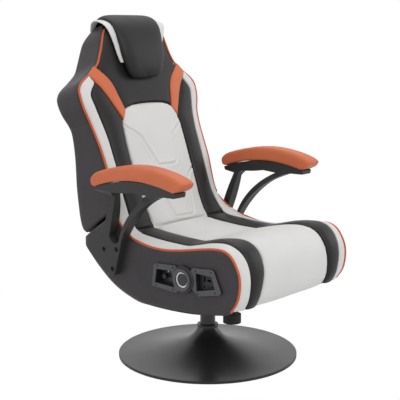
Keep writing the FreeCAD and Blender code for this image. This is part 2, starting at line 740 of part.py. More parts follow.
def make_seat_upholstery():
    half = S.seat_half.value
    thick = S.side_thick.value
    crown = 7
    feature_of("seat_cushion", ruled_form(seat_strip(None, 4, S.pad_thick.value), crown + 3, 1))
    bolster = seat_strip(4, 5, S.pad_thick.value)
    band = seat_edge_rows()
    piping = seat_piping_points()
    feature_of("seat_bolster_left", ruled_form(bolster, crown, 1))
    feature_of("seat_bolster_right", ruled_form(mirrored(bolster), crown, 1))
    tubes = [tube_along(piping, S.piping_radius.value)]
    tubes.append(tube_along(mirrored([piping])[0], S.piping_radius.value))
    feature_of("seat_edge_left", largest(ruled_form(band, 2).cut(tubes[0])))
    feature_of("seat_edge_right", largest(ruled_form(mirrored(band), 2).cut(tubes[1])))
    feature_of("seat_piping", Part.makeCompound(tubes))

    # The side slab leans inwards above the seat, so that it meets the narrower back.
    slab = seat_side_face(4.4).extrude(Vector(thick, 0, 0))
    slab.translate(Vector(half - thick, 0, 0))
    lean = Part.Face(Part.makePolygon([
        Vector(half, 60, 404), Vector(half + 9, 60, 404), Vector(half + 9, 60, 500),
        Vector(half - 27, 60, 500), Vector(half, 60, 404)]))
    slab = slab.cut(lean.extrude(Vector(0, 150, 0)))
    for y, z in arm_bolt_spots():
        bolt_hole = S.arm_bolt_radius.value + 0.3
        slab = slab.cut(round_bar(bolt_hole, (half - 60, y, z), (half + 20, y, z)))
    slab = largest(slab.cut(tubes[0]))
    feature_of("seat_side_left", slab)
    other = slab.mirror(Vector(0, 0, 0), Vector(1, 0, 0))
    for corners in (REAR_BEZEL, FRONT_BEZEL):
        wall = S.tray_wall.value + 0.5
        other = other.cut(tub(corners, wall, -half - 10, -half + thick + 10))
    dial = (-half - 10, S.dial_y.value, S.dial_z.value)
    hub = (-half + thick + 10, S.dial_y.value, S.dial_z.value)
    feature_of("seat_side_right", other.cut(round_bar(S.volume_inner.value + 1, dial, hub)))


# Seat carcass: boards, deck and underside cover

def slab_of(points, low, high):
    """A board whose outline lies in the YZ plane, from low to high across the chair."""
    loop = [Vector(low, y, z) for y, z in points]
    return Part.Face(Part.makePolygon(loop + [loop[0]])).extrude(Vector(high - low, 0, 0))


def make_seat_carcass():
    drop = S.seat_drop.value
    board = S.board_thick.value
    top = S.deck_top.value - board
    inner = S.seat_half.value - S.side_thick.value - S.seam_gap.value
    side = [(92, top), (128, 378), (158, 388), (250, 356), (205, 298), (140, 256), (62, 228),
            (0, 222), (-80, 221), (-210, 236), (-276, 254), (-276, 262), (-298, 296), (-300, top)]
    side = [(y, z + drop) for y, z in side]
    left = slab_of(side, inner - board, inner)
    for y, z in arm_bolt_spots():
        hole = S.arm_bolt_radius.value + 0.3
        left = left.cut(round_bar(hole, (inner - 30, y, z), (inner + 30, y, z)))
    right = left.mirror(Vector(0, 0, 0), Vector(1, 0, 0))
    for corners in (REAR_BEZEL, FRONT_BEZEL):
        right = right.cut(tub(corners, S.tray_wall.value + 0.5, -inner - 20, -inner + 40))
    hub = ((-inner - 30, S.dial_y.value, S.dial_z.value), (-inner + 30, S.dial_y.value, S.dial_z.value))
    right = right.cut(round_bar(S.volume_inner.value + 1, *hub))
    reach = inner - board
    floor = Part.makeBox(reach * 2, 186, board, Vector(-reach, -130, 219.5 + drop))
    front = Part.makeBox(reach * 2, board, top - 262, Vector(-reach, -286, 262 + drop))
    for across in (-1, 1):
        for along in (-52, 72):
            x = (S.tilt_plate_half.value - 18) * across
            floor = floor.cut(round_bar(4.2, (x, along, 200), (x, along, 240)))
    feature_of("seat_frame", Part.makeCompound([left, right, floor, front]))
    deck = Part.makeBox(inner * 2, 382, board, Vector(-inner, -290, top + drop))
    feature_of("seat_deck", deck)

    reach = S.seat_half.value - S.side_thick.value - S.seam_gap.value
    upper = Part.BSplineCurve()
    upper.interpolate([Vector(-reach, y, z + S.cover_thick.value) for y, z in SEAT_LOWER])
    lower = Part.BSplineCurve()
    lower.interpolate([Vector(-reach, y, z) for y, z in SEAT_LOWER])
    ends = [Part.makeLine(lower.StartPoint, upper.StartPoint),
            Part.makeLine(upper.EndPoint, lower.EndPoint)]
    face = Part.Face(Part.Wire([ends[0], upper.toShape(), ends[1], lower.toShape()]))
    cover = face.extrude(Vector(reach * 2, 0, 0))
    top = S.tilt_plate_z.value + S.tilt_plate_thick.value + 8
    well = (0, -S.tongue_y.value)
    cover = cover.cut(Part.makeCylinder(S.bolt_radius.value * 2.4, 40, Vector(*well, top - 30)))
    rear = [(92.4, 350), (92.4, 353.5), (148, 386), (266, 376), (283, 357), (283, 354), (279, 354),
            (264.5, 372.6), (149, 382.3)]
    between_plates = S.fold_inner.value - 1.4
    cover = cover.fuse(slab_of(rear, -between_plates, between_plates)).removeSplitter()
    feature_of("seat_underside", cover)


# Control panel on the sitter's right: outlines as (y, z) on the side's face

REAR_BEZEL = [(-13, 277), (-30, 275), (-108, 271), (-127, 283), (-118, 342), (-104, 351),
              (-30, 346), (-20, 338)]
FRONT_BEZEL = [(-164, 297), (-195, 276), (-272, 293), (-279, 300), (-252, 357), (-244, 361),
               (-176, 355), (-165, 346)]
REAR_RECESS = [(-25, 288), (-102, 286), (-90, 333), (-32, 329)]
FRONT_RECESS = [(-188, 290), (-256, 307), (-243, 341), (-184, 341)]


def recess_of(corners):
    """The recess inside a bezel's frame."""
    return REAR_RECESS if corners is REAR_BEZEL else FRONT_RECESS


def grown(corners, wall):
    """The corners moved outwards from their middle by about the wall."""
    mid_y = sum(y for y, z in corners) / len(corners)
    mid_z = sum(z for y, z in corners) / len(corners)
    result = []
    for y, z in corners:
        reach = math.hypot(y - mid_y, z - mid_z)
        scale = 1 + wall * 1.35 / reach
        result.append((mid_y + (y - mid_y) * scale, mid_z + (z - mid_z) * scale))
    return result


def tub(corners, wall, low, high):
    """The prism of a bezel's recess, grown by a wall, between two places across the chair."""
    return slab_of(grown(recess_of(corners), wall), low, high)


def make_bezel(label, corners, screws):
    """A moulded frame proud of the side, with a tray let into the side behind it."""
    body = new_body(label)
    rim = sketch_on(body, "YZ_Plane", -S.seat_half)
    outline(rim, corners)
    pad(body, rim, S.bezel_proud, back=True)
    tray = sketch_on(body, "YZ_Plane", -S.seat_half)
    outline(tray, grown(recess_of(corners), S.tray_wall.value))
    pad(body, tray, S.tray_depth + S.tray_wall)
    hollow = sketch_on(body, "YZ_Plane", -S.seat_half - S.bezel_proud)
    outline(hollow, recess_of(corners))
    pocket(body, hollow, S.bezel_proud + S.tray_depth, back=True)
    bite = sketch_on(body, "YZ_Plane", -S.seat_half - S.bezel_proud)
    circle(bite, S.dial_y, S.dial_z, S.dial_radius + S.seam_gap)
    pocket(body, bite, S.bezel_proud, back=True)
    holes = sketch_on(body, "YZ_Plane", -S.seat_half - S.bezel_proud)
    for y, z in screws:
        circle(holes, y, z, S.panel_screw + 0.8)
    pocket(body, holes, S.bezel_proud - 1.5, back=True)
    doc.recompute()
    tip = body.Tip
    face_x = -(S.seat_half + S.bezel_proud).value
    names = []
    for i, edge in enumerate(tip.Shape.Edges, start=1):
        box = edge.BoundBox
        on_face = abs(box.XMin - face_x) < 0.01 and abs(box.XMax - face_x) < 0.01
        if on_face and edge.Length > 8 and edge.Curve.TypeId == "Part::GeomLine":
            names.append("Edge" + str(i))
    chamfer = body.newObject("PartDesign::Chamfer", label + "_chamfer")
    chamfer.Base = (tip, names)
    chamfer.Size = 0.6
    return body


def make_panel():
    face = -S.seat_half
    screws = []
    rear_screws = [(-36, 339.5), (-97, 343.5), (-31, 281), (-97, 278)]
    front_screws = [(-184, 348.5), (-241, 352), (-193, 283.5), (-257, 297)]
    make_bezel("panel_rear_bezel", REAR_BEZEL, rear_screws)
    make_bezel("panel_front_bezel", FRONT_BEZEL, front_screws)
    for y, z in rear_screws + front_screws:
        start = face.value - S.bezel_proud.value
        head = Part.makeCone(S.panel_screw.value, 1.2, 1.2, Vector(start + 0.4, y, z), Vector(1, 0, 0))
        shank = round_bar(1.2, (start + 1.5, y, z), (start + S.bezel_proud.value - 1.5, y, z))
        screws.append(head.fuse(shank))
    feature_of("panel_screws", Part.makeCompound(screws))

    housing = new_body("dial_housing")
    disc = sketch_on(housing, "YZ_Plane", face)
    circle(disc, S.dial_y, S.dial_z, S.dial_radius)
    pad(housing, disc, S.dial_proud, back=True)
    hub = sketch_on(housing, "YZ_Plane", face)
    circle(hub, S.dial_y, S.dial_z, S.volume_inner - 0.2)
    pad(housing, hub, S.side_thick)
    track = sketch_on(housing, "YZ_Plane", face - S.dial_proud)
    circle(track, S.dial_y, S.dial_z, S.volume_outer + 0.3)
    circle(track, S.dial_y, S.dial_z, S.volume_inner - S.running_gap)
    pocket(housing, track, S.dial_proud * 0.5, back=True)
    well = sketch_on(housing, "YZ_Plane", face - S.dial_proud)
    circle(well, S.dial_y, S.dial_z, S.cap_radius + 0.1)
    pocket(housing, well, S.dial_proud + 4, back=True)
    light = sketch_on(housing, "YZ_Plane", face - S.dial_proud)
    circle(light, S.dial_y, S.dial_z, S.light_outer)
    circle(light, S.dial_y, S.dial_z, S.light_inner)
    pocket(housing, light, 2, back=True)
    rim = face.value - S.dial_proud.value
    reach = S.dial_radius.value
    round_edges(housing, 3.5, lambda edge: abs(edge.BoundBox.XMax - rim) < 0.01
                and abs(edge.BoundBox.YLength - reach * 2) < 0.5)

    ring = new_body("dial_light_ring")
    glow = sketch_on(ring, "YZ_Plane", face - S.dial_proud + 2)
    circle(glow, S.dial_y, S.dial_z, S.light_outer)
    circle(glow, S.dial_y, S.dial_z, S.light_inner)
    pad(ring, glow, 1.9, back=True)

    volume = new_body("volume_dial")
    grip = sketch_on(volume, "YZ_Plane", face - S.dial_proud * 0.5 - 0.2)
    circle(grip, S.dial_y, S.dial_z, S.volume_outer)
    circle(grip, S.dial_y, S.dial_z, S.volume_inner)
    pad(volume, grip, S.dial_proud * 0.5 + S.volume_proud, back=True)
    notch = sketch_on(volume, "YZ_Plane", face - S.dial_proud - S.volume_proud - 1)
    circle(notch, S.dial_y + S.volume_outer + 0.6, S.dial_z, 1.5)
    groove = pocket(volume, notch, S.volume_proud, back=True)
    axis = sketch_on(volume, "YZ_Plane", face)
    circle(axis, S.dial_y, S.dial_z, 1)
    pattern_cuts(volume, groove)

    cap = new_body("power_button")
    top = sketch_on(cap, "YZ_Plane", face - S.dial_proud - 1.5)
    circle(top, S.dial_y, S.dial_z, S.cap_radius)
    pad(cap, top, S.dial_proud)
    rim_x = face.value - S.dial_proud.value - 1.5
    round_edges(cap, 1.2, lambda edge: abs(edge.BoundBox.XMax - rim_x) < 0.01)

    tray_floor = face + S.tray_depth
    for label, y, z in (("bass_knob", -52, 308), ("treble_knob", -78, 304)):
        knob = new_body(label)
        shaft = sketch_on(knob, "YZ_Plane", tray_floor - 0.3)
        circle(shaft, y, z, S.small_knob)
        pad(knob, shaft, 12, back=True)
        grip = sketch_on(knob, "YZ_Plane", tray_floor - 12.3)
        outline(grip, [
            (y - 0.9, z), (y + 0.9, z), (y + 0.9, z + S.small_knob + 1), (y - 0.9, z + S.small_knob + 1)])
        pocket(knob, grip, 1.4, back=True)
    button = new_body("mode_button")
    stem = sketch_on(button, "YZ_Plane", tray_floor - S.button_travel - 0.3)
    circle(stem, -64, 324, S.button_radius)
    pad(button, stem, 4.5, back=True)

    insert = new_body("socket_insert")
    plate = sketch_on(insert, "YZ_Plane", tray_floor)
    outline(plate, grown(FRONT_RECESS, -1.2))
    pad(insert, plate, 9, back=True)
    sockets = sketch_on(insert, "YZ_Plane", tray_floor - 9)
    circle(sockets, -222, 306.5, 2.2)
    circle(sockets, -234, 307.5, 2.2)
    circle(sockets, -205, 304, 3)
    outline(sockets, [(-203, 317), (-209, 317), (-209, 333), (-203, 333)])
    outline(sockets, [(-216, 320), (-231, 320), (-231, 327), (-216, 327)])
    pocket(insert, sockets, 7, back=True)

    box = doc.addObject("Part::Box", "amplifier_box")
    box.Label = "amplifier_box"
    box.setExpression("Length", "46")
    box.setExpression("Width", "258")
    box.setExpression("Height", "92")
    inner = S.seat_half - S.side_thick - S.seam_gap - S.board_thick
    place(box, -inner + 4, -270, 256)


def pattern_cuts(body, groove):
    """Repeats a cut round the dial's own axis, which stands off the origin."""
    sketch = groove.Profile[0]
    line = sketch_on(body, "XY_Plane", S.dial_z)
    index = line.addGeometry(Part.LineSegment(Vector(0, S.dial_y.value, 0), Vector(10, S.dial_y.value, 0)))
    constrain(line, Sketcher.Constraint("DistanceY", -1, 1, index, 1, S.dial_y.value), S.dial_y)
    line.addConstraint(Sketcher.Constraint("Horizontal", index))
    pattern = body.newObject("PartDesign::PolarPattern", body.Label + "_grip")
    pattern.Originals = [groove]
    pattern.Axis = (line, ["Edge1"])
    pattern.Angle = 360
    pattern.Occurrences = 30
    body.Tip = pattern
    return sketch


# Arms: a moulded bracket and a padded rest on each side, with three bolts

# Rows along the armrest, as y and z from the arm's rear bolt: underside, then top.
ARM_PAD = [(34, 250, 50, 262), (28, 251.5, 46, 276), (8, 259, 24, 293), (-38, 270.5, -34, 310),
           (-98, 279.6, -98, 322), (-160, 281.8, -166, 325.5), (-224, 275.6, -238, 318),
           (-268, 267.4, -296, 304), (-288, 263.6, -326, 288)]


def is_rib(edge, y):
    """Whether the edge runs straight across the chair at this y."""
    box = edge.BoundBox
    return box.YLength < 0.01 and box.ZLength < 0.01 and abs(box.YMin - y) < 0.01


def make_arm(side, name):
    """The bracket's side outline is cut again by its front outline, which leans out to the rail."""
    body = new_body("arm_bracket_" + name)
    near = S.seat_half * side
    width = S.arm_lean + S.arm_web + S.rail_half
    web = sketch_on(body, "YZ_Plane", near + 0.2 * side)
    y, z = S.arm_y, S.arm_z
    outline(web, [
        (y - 290, z + 264), (y - 287, z + 251), (y - 235, z + 250), (y - 39, z + 89),
        (y - 5.7, z - 25.6), (y + 68, z - 4.5), (y + 38, z + 96), (y - 7, z + 231),
        (y + 34, z + 237), (y + 38, z + 248)], {2: -317, 5: -281, 9: 545})
    pad(body, web, width, back=side < 0)
    foot_front, foot_rear = float(y) - 5.7, float(y) + 68
    round_edges(body, 17, lambda edge: is_rib(edge, foot_front))
    round_edges(body, 31, lambda edge: is_rib(edge, foot_rear))
    opening = sketch_on(body, "YZ_Plane", near)
    outline(opening, [
        (y - 180, z + 247), (y - 31, z + 96), (y + 11, z + 100), (y - 25, z + 226),
        (y - 40, z + 241), (y - 130, z + 251)], {0: -285, 1: 21.3, 2: -900, 3: 17, 4: -520})
    pocket(body, opening, width * 3, both=True)
    far = near + (S.arm_lean + S.rail_half * 2) * side
    inner = sketch_on(body, "XZ_Plane")
    outline(inner, [
        (near - 9 * side, z + 112), (near + 0.2 * side, z + 112), (near + S.arm_lean * side, z + 236),
        (near + S.arm_lean * side, z + 320), (near - 9 * side, z + 320)], {1: -441 * side})
    pocket(body, inner, 1200, both=True)
    outer = sketch_on(body, "XZ_Plane")
    outline(outer, [
        (near + S.arm_web * side, z - 60), (near + S.arm_web * side, z + 84),
        (near + (S.arm_web + 9) * side, z + 222), (far, z + 243), (far, z + 330),
        (far + 40 * side, z + 330), (far + 40 * side, z - 60)], {1: 1062.5 * side})
    pocket(body, outer, 1200, both=True)
    for shift in (0, 1, 2):
        spot = [(y, z), (y - 18, z + 62), (y + 36, z + 56)][shift]
        hole = sketch_on(body, "YZ_Plane", near)
        circle(hole, *spot, S.arm_bolt_radius + 0.3)
        pocket(body, hole, S.arm_web * 3, both=True)
        seat = sketch_on(body, "YZ_Plane", near + S.arm_web * side)
        circle(seat, *spot, S.arm_head_radius + 0.5)
        pocket(body, seat, 9, back=side < 0)

    def on_outer_face(edge):
        box = edge.BoundBox
        flat = box.XLength < 0.01 and abs(abs(box.XMin) - face) < 0.01
        bolt = edge.isClosed()
        return flat and box.ZLength > 5 and not bolt
    face = (S.seat_half + S.arm_web).value
    round_edges(body, 3, on_outer_face)

    rows = []
    middle = float(near + (S.arm_lean + S.rail_half) * side)
    half = S.pad_half.value
    for bottom_y, bottom_z, top_y, top_z in ARM_PAD:
        low = Vector(0, y.value + bottom_y, z.value + bottom_z + 0.5)
        rise = Vector(0, y.value + top_y, z.value + top_z) - low
        row = []
        for across, share in ((3 - half, 0.88), (half - 3, 0.88), (half, 0.5), (half - 2, 0),
                              (2 - half, 0), (-half, 0.5)):
            row.append(low + rise * share + Vector(middle + across, 0, 0))
        rows.append(row)
    doc.recompute()
    feature_of("arm_pad_" + name, largest(ruled_form(rows, 6).cut(body.Shape)))


def make_arm_bolts():
    bolts = []
    outer = S.seat_half.value + S.arm_web.value - 9
    inner = S.seat_half.value - S.side_thick.value - S.board_thick.value - 3
    for side in (-1, 1):
        for y, z in arm_bolt_spots():
            shank = round_bar(S.arm_bolt_radius.value, (inner * side, y, z), (outer * side + side, y, z))
            head = round_bar(S.arm_head_radius.value, (outer * side, y, z), ((outer + 5) * side, y, z))
            key = hexagon(S.arm_bolt_radius.value, y, z, (outer + 2) * side, 4 * side)
            bolts.append(shank.fuse(head).cut(key))
    feature_of("arm_bolts", Part.makeCompound(bolts))


def hexagon(radius, y, z, start, depth):
    """A six-sided key socket along X."""
    corners = []
    for i in range(7):
        turn = math.radians(60 * i)
        corners.append(Vector(start, y + radius * math.cos(turn), z + radius * math.sin(turn)))
    return Part.Face(Part.makePolygon(corners)).extrude(Vector(depth, 0, 0))


# The fold: plates and pins at the crease

def make_fold():
    y, z = S.pivot_y, S.pivot_z
    eye = S.fold_eye
    inner = S.fold_inner
    plates_back, plates_seat, pins = [], [], []
    for side in (-1, 1):
        plate = new_body("fold_plate_back")
        shape = sketch_on(plate, "YZ_Plane", inner * side)
        outline(shape, [
            (0, -eye), (80, -eye), (80, 132), (60, 132), (60, eye), (0, eye)], {5: eye * 1.001})
        pad(plate, shape, S.fold_plate, back=side < 0)
        bore = sketch_on(plate, "YZ_Plane")
        circle(bore, 0, 0, S.fold_pin_radius + S.running_gap)
        for up in (60, 116):
            circle(bore, 70, up, 3.3)
        pocket(plate, bore, 600, both=True)
        plates_back.append(lean_back(plate))

        arm = new_body("fold_plate_seat")
        shape = sketch_on(arm, "YZ_Plane", (inner + S.fold_plate + 0.6) * side)
        outline(shape, [
            (y - eye, z), (y - eye, z - 50), (y + 14, z - 92), (y + 74, z - 92), (y + 74, z - 62),
            (y + eye, z - 36), (y + eye, z)], {6: eye * 1.001})
        pad(arm, shape, S.fold_plate, back=side < 0)
        bore = sketch_on(arm, "YZ_Plane")
        circle(bore, y, z, S.fold_pin_radius + 0.02)
        for along in (28, 60):
            circle(bore, y + along, z - 78, 3.3)
        pocket(arm, bore, 600, both=True)
        plates_seat.append(arm)

        for radius, length, low in ((0, S.fold_plate * 2 + 3, -1.6), (2.5, sized(2.4), -2.8)):
            bar = cylinder("fold_pin_part", S.fold_pin_radius + radius, length)
            place(bar, inner + low if side > 0 else -inner - low - length, y, z, Vector(0, 1, 0), 90)
            pins.append(bar)
    join("fold_plates_back", "Compound", *plates_back)
    join("fold_plates_seat", "Compound", *plates_seat)
    pairs = [join("fold_pin", "MultiFuse", *pins[i:i + 2]) for i in (0, 2)]
    join("fold_pins", "Compound", *pairs)


# The back, built upright about the fold pivot and then reclined

def lean_back(piece):
    """Stands a piece of the back on the pivot and reclines it."""
    return place(piece, 0, S.pivot_y, S.pivot_z, Vector(-1, 0, 0), S.recline)


def back_strip(stations, inner, outer, crown, deep):
    """Rows of a strip up the back between two half-width functions."""
    gap = S.seam_gap.value
    rows = []
    for up in stations:
        low, high = inner(up), outer(up)
        low = low + gap if low >= 0 else low
        high = high - gap
        front_low = back_front(abs(low), up)
        front_high = back_front(high, up)
        rows.append([
            (low, front_low, up), (high, front_high, up), (high - 2.5, deep, up),
            (low + (2.5 if low < high - 6 else 0), deep, up)])
    return rows


def make_back_upholstery(sides, cover):
    deep = S.back_board_depth.value - 0.4
    pad_half = lambda up: smooth(BACK_PAD_HALF, up) * WIDE
    seam = lambda up: smooth(BACK_SEAM_HALF, up) * WIDE
    bolster_inner = lambda up: smooth(BACK_BOLSTER_INNER, up) * WIDE
    upper_half = lambda up: min(smooth(UPPER_PANEL_HALF, up) * WIDE, back_edge_half(up) - 5)

    cushion = back_strip(
        [1, 30, 60, 95, 130, 170, 210, 250, 290, 330, 352, 368, 380, 389, 395],
        lambda up: -pad_half(up) + S.seam_gap.value, pad_half, 8, deep)
    lean_back(feature_of("back_cushion", ruled_form(cushion, 9, 1)))
    panel = back_strip(
        [398.5, 415, 432, 450, 466, 481, 495, 508, 520, 531, 545, 559, 575, 590, 606, 622, 634, 645],
        lambda up: -upper_half(up) + S.seam_gap.value, upper_half, 4, deep)
    lean_back(feature_of("back_upper_panel", largest(ruled_form(panel, 4).cut(sides))))
    bolster = back_strip(
        [1, 30, 60, 90, 120, 160, 200, 245, 290, 326, 352, 366, 380, 398, 415, 432, 450, 462, 470],
        bolster_inner, seam, 7, deep)
    lean_back(feature_of("back_bolster_left", ruled_form(bolster, 8, 1)))
    lean_back(feature_of("back_bolster_right", ruled_form(mirrored(bolster), 8, 1)))

    band = []
    thick = S.back_side_thick.value + S.seam_gap.value
    for up in [14, 32, 50, 68, 84, 100, 130, 160, 200, 245, 290, 330, 365, 395, 420, 440, 455, 468,
               480, 492]:
        inner = seam(up) + S.seam_gap.value
        outer = back_edge_half(up) - 5.6
        depth = smooth(BACK_EDGE_DEPTH, up)
        inside = max(outer + 5.6 - thick, inner + 2)
        under = min(depth + 14, deep)
        band.append([
            (inner, back_front(inner, up), up), (outer, depth - 1, up), (inside, depth + 2, up),
            (inside - 1, under, up), (inner + 0.5, under, up)])

    straps = []
    for flip in (1, -1):
        rows = []
        for inner_x, inner_up, outer_x, outer_up in STRAP_ROWS:
            inner_x, outer_x = inner_x * WIDE, outer_x * WIDE
            start = Vector(inner_x + 0.5, back_front(inner_x, inner_up) - 1, inner_up)
            end = Vector(outer_x - 0.5, back_front(outer_x, outer_up) - 1, outer_up)
            row = flat_row(start, end, Vector(0, 1, 0), [(1, 0), (0.96, 14), (0.04, 14)])
            rows.append([(point.x * flip, point.y, point.z) for point in row])
        straps.append(largest(ruled_form(rows, 3).cut(sides)))
    lean_back(feature_of("back_straps", Part.makeCompound(straps)))

    piping = []
    for up in [78, 100, 130, 165, 200, 245, 290, 330, 365, 395, 420, 440, 458, 470, 482, 494, 506,
               518, 531, 545, 559, 575, 590, 606, 622, 638]:
        piping.append((back_edge_half(up) - 1.2, smooth(BACK_EDGE_DEPTH, up) + 0.3, up))
    tubes = [tube_along(piping, S.piping_radius.value)]
    tubes.append(tube_along(mirrored([piping])[0], S.piping_radius.value))
    lean_back(feature_of("back_piping", Part.makeCompound(tubes)))
    lean_back(feature_of("back_edge_left", largest(ruled_form(band, 2).cut(tubes[0]))))
    lean_back(feature_of("back_edge_right", largest(ruled_form(mirrored(band), 2).cut(tubes[1]))))

    rest = []
    for up, depth, inner_up, inner_depth, half in HEADREST:
        half = half * WIDE
        rest.append([(-half, depth, up), (half, depth, up), (half - 4, inner_depth, inner_up),
                     (-half + 4, inner_depth, inner_up)])
    lean_back(feature_of("headrest", largest(ruled_form(rest, 6).cut(cover))))

    accents = []
    for flip in (1, -1):
        rows = []
        for i, (up, depth, inner_up, inner_depth, half) in list(enumerate(HEADREST))[2:11]:
            half = half * WIDE
            inner = Vector(half + 0.4, inner_depth, inner_up)
            out = (Vector(half + 0.4, depth, up) - inner) * (1 / math.hypot(depth - inner_depth, up - inner_up))
            wide = Vector(ACCENT_WIDTH[i], 0, 0)
            row = [inner + out * 6, inner + wide + out * 2, inner + wide, inner]
            rows.append([(point.x * flip, point.y, point.z) for point in row])
        accents.append(ruled_form(rows, 1))
    lean_back(feature_of("headrest_accents", Part.makeCompound(accents)))


def curtain(inner_thick, ups):
    """The back's side wall as a tall ribbon that follows the half width, open front and rear."""
    outer = [Vector(back_edge_half(up), -20, up) for up in ups]
    inner = [Vector(back_edge_half(up) - inner_thick, -20, up) for up in reversed(ups)]
    out_curve, in_curve = Part.BSplineCurve(), Part.BSplineCurve()
    out_curve.interpolate(outer)
    in_curve.interpolate(inner)
    edges = [out_curve.toShape(), Part.makeLine(outer[-1], inner[0]), in_curve.toShape(),
             Part.makeLine(inner[-1], outer[0])]
    return Part.Face(Part.Wire(edges)).extrude(Vector(0, 260, 0))


def make_back_shell():
    """The padded sides and the rear cover, which the rest of the back is fitted to."""
    front = [(78, 44)] + [(up, smooth(BACK_EDGE_DEPTH, up) + 4.2) for up in
                          (100, 142, 200, 262, 315, 365, 422, 457, 480, 504, 531, 559, 590, 622, 645)]
    front_curve = Part.BSplineCurve()
    front_points = [Vector(0, depth, up) for up, depth in front]
    front_curve.interpolate(front_points)
    cover = S.cover_thick.value * 2
    rear_curve = Part.BSplineCurve()
    rear_points = [Vector(0, depth - cover, up) for up, depth in BACK_REAR]
    rear_curve.interpolate(rear_points)
    edges = [front_curve.toShape(), Part.makeLine(front_points[-1], rear_points[-1]),
             rear_curve.toShape(), Part.makeLine(rear_points[0], front_points[0])]
    profile = Part.Face(Part.Wire(edges)).extrude(Vector(300 * WIDE, 0, 0))
    ups = [20, 45, 76, 110, 142, 200, 262, 315, 365, 405, 440, 460, 480, 504, 531, 559, 590, 622,
           645, 668]
    side = curtain(S.back_side_thick.value, ups).common(profile)

    # The rear cover is a bent sheet over the whole rear, cut to the back's outline.
    wide = 300 * WIDE
    outer_points = [Vector(-wide, depth, up) for up, depth in BACK_REAR]
    inner_points = []
    for i, point in enumerate(outer_points):
        along = outer_points[min(i + 1, len(BACK_REAR) - 1)] - outer_points[max(i - 1, 0)]
        inwards = Vector(0, -along.z, along.y).normalize()
        inner_points.append(point + inwards * (cover - 0.6))
    outer, inner = Part.BSplineCurve(), Part.BSplineCurve()
    outer.interpolate(outer_points)
    inner.interpolate(inner_points)
    ends = [Part.makeLine(outer_points[-1], inner_points[-1]),
            Part.makeLine(inner_points[0], outer_points[0])]
    sheet = Part.Face(Part.Wire([outer.toShape(), ends[0], inner.toShape(), ends[1]]))
    sheet = sheet.extrude(Vector(wide * 2, 0, 0))
    half_outline = [Vector(back_edge_half(up), -40, up) for up in ups]
    edge = Part.BSplineCurve()
    edge.interpolate(half_outline)
    mirror_outline = [Vector(-point.x, point.y, point.z) for point in half_outline]
    other = Part.BSplineCurve()
    other.interpolate(mirror_outline)
    rim = Part.Wire([edge.toShape(), Part.makeLine(half_outline[-1], mirror_outline[-1]),
                     other.toShape(), Part.makeLine(mirror_outline[0], half_outline[0])])
    whole = Part.Face(rim).extrude(Vector(0, 400, 0))
    skin = sheet.common(whole)
    side = largest(side.cut(skin))
    other_side = side.mirror(Vector(0, 0, 0), Vector(1, 0, 0))

    # Its lower end turns in under the back as far as the cushions, between the fold plates.
    between_plates = S.fold_inner.value - 1.4
    start, turn = inner_points[0], outer_points[0]
    under = [(S.back_board_depth.value + 0.2, 3), (turn.y, turn.z), (start.y, start.z),
             (S.back_board_depth.value + 0.2, 6.5)]
    skin = skin.fuse(slab_of(under, -between_plates, between_plates)).removeSplitter()
    lean_back(feature_of("back_side_left", side))
    lean_back(feature_of("back_side_right", other_side))
    lean_back(feature_of("back_cover", skin))
    return Part.makeCompound([side, other_side]), skin


def make_back_frame():
    board = new_body("back_board")
    flat = sketch_on(board, "XZ_Plane", -S.back_board_depth)
    low = S.waist_half - S.back_side_thick
    outline(flat, [
        (low - 22, 18), (low - 22, 330), (S.shoulder_half - 45, 405), (S.shoulder_half - 42, 452),
        (S.head_half + 26, 512), (S.head_half - 20, 575), (S.head_half - 26, 632),
        (-S.head_half + 26, 632), (-S.head_half + 20, 575), (-S.head_half - 26, 512),
        (-S.shoulder_half + 42, 452), (-S.shoulder_half + 45, 405), (-low + 22, 330),
        (-low + 22, 18)])
    pad(board, flat, 9, back=True)
    lean_back(board)

    tube = S.frame_tube.value
    side_x = S.fold_inner.value - tube
    depth = 60
    pieces = []
    for side in (-1, 1):
        x = side_x if side > 0 else -side_x - tube
        pieces.append(Part.makeBox(tube, tube, 400, Vector(x, depth, 30)))
        pieces.append(Part.makeBox(tube, tube, 190, Vector(90 * side - tube / 2, depth - 4, 430)))
    for up in (60, 410):
        pieces.append(Part.makeBox(side_x * 2, tube, tube, Vector(-side_x, depth, up)))
    pieces.append(Part.makeBox(180 - tube, tube, tube, Vector(-90 + tube / 2, depth - 4, 590)))
    frame = pieces[0].fuse(pieces[1:]).removeSplitter()
    lean_back(feature_of("back_frame", frame))

    cone = Part.makeCone(70, 30, 34, Vector(0, 58, 250), Vector(0, 1, 0))
    magnet = Part.makeCylinder(36, 26, Vector(0, 92, 250), Vector(0, 1, 0))
    lean_back(feature_of("subwoofer", cone.fuse(magnet)))


# Build everything, check it and write one file for each piece

column_bottom = make_base()
tongue_under = make_swivel(column_bottom)
make_spring(tongue_under, S.knob_bottom + S.knob_height)
make_tilt_plate()
make_pins()
make_tension_knob()
make_seat_carcass()
make_seat_upholstery()
make_panel()
make_arm(1, "left")
make_arm(-1, "right")
make_arm_bolts()
make_fold()
make_back_upholstery(*make_back_shell())
make_back_frame()


def pieces_to_write():
    """Every finished piece: bodies, free shapes, and Part pieces that no other piece uses."""
    kinds = ("PartDesign::Body", "Part::")
    result = []
    for thing in doc.Objects:
        if not thing.TypeId.startswith(kinds) or thing.getParentGeoFeatureGroup():
            continue
        users = [user for user in thing.InList if user.TypeId.startswith("Part::")]
        if not users:
            result.append(thing)
    return result


doc.recompute()
for thing in doc.Objects:
    if "Invalid" in thing.State or "Error" in thing.State:
        raise RuntimeError(thing.Label + " did not build: " + str(thing.State))
finished = pieces_to_write()
for piece in finished:
    if piece.Shape.isNull() or not piece.Shape.isValid() or piece.Shape.Volume <= 0:
        raise RuntimeError(piece.Label + " is not a sound solid")
for piece in finished:
    piece.Shape.exportStep("parts/" + piece.Label + ".step")
print(len(finished), "pieces")
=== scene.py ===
import math

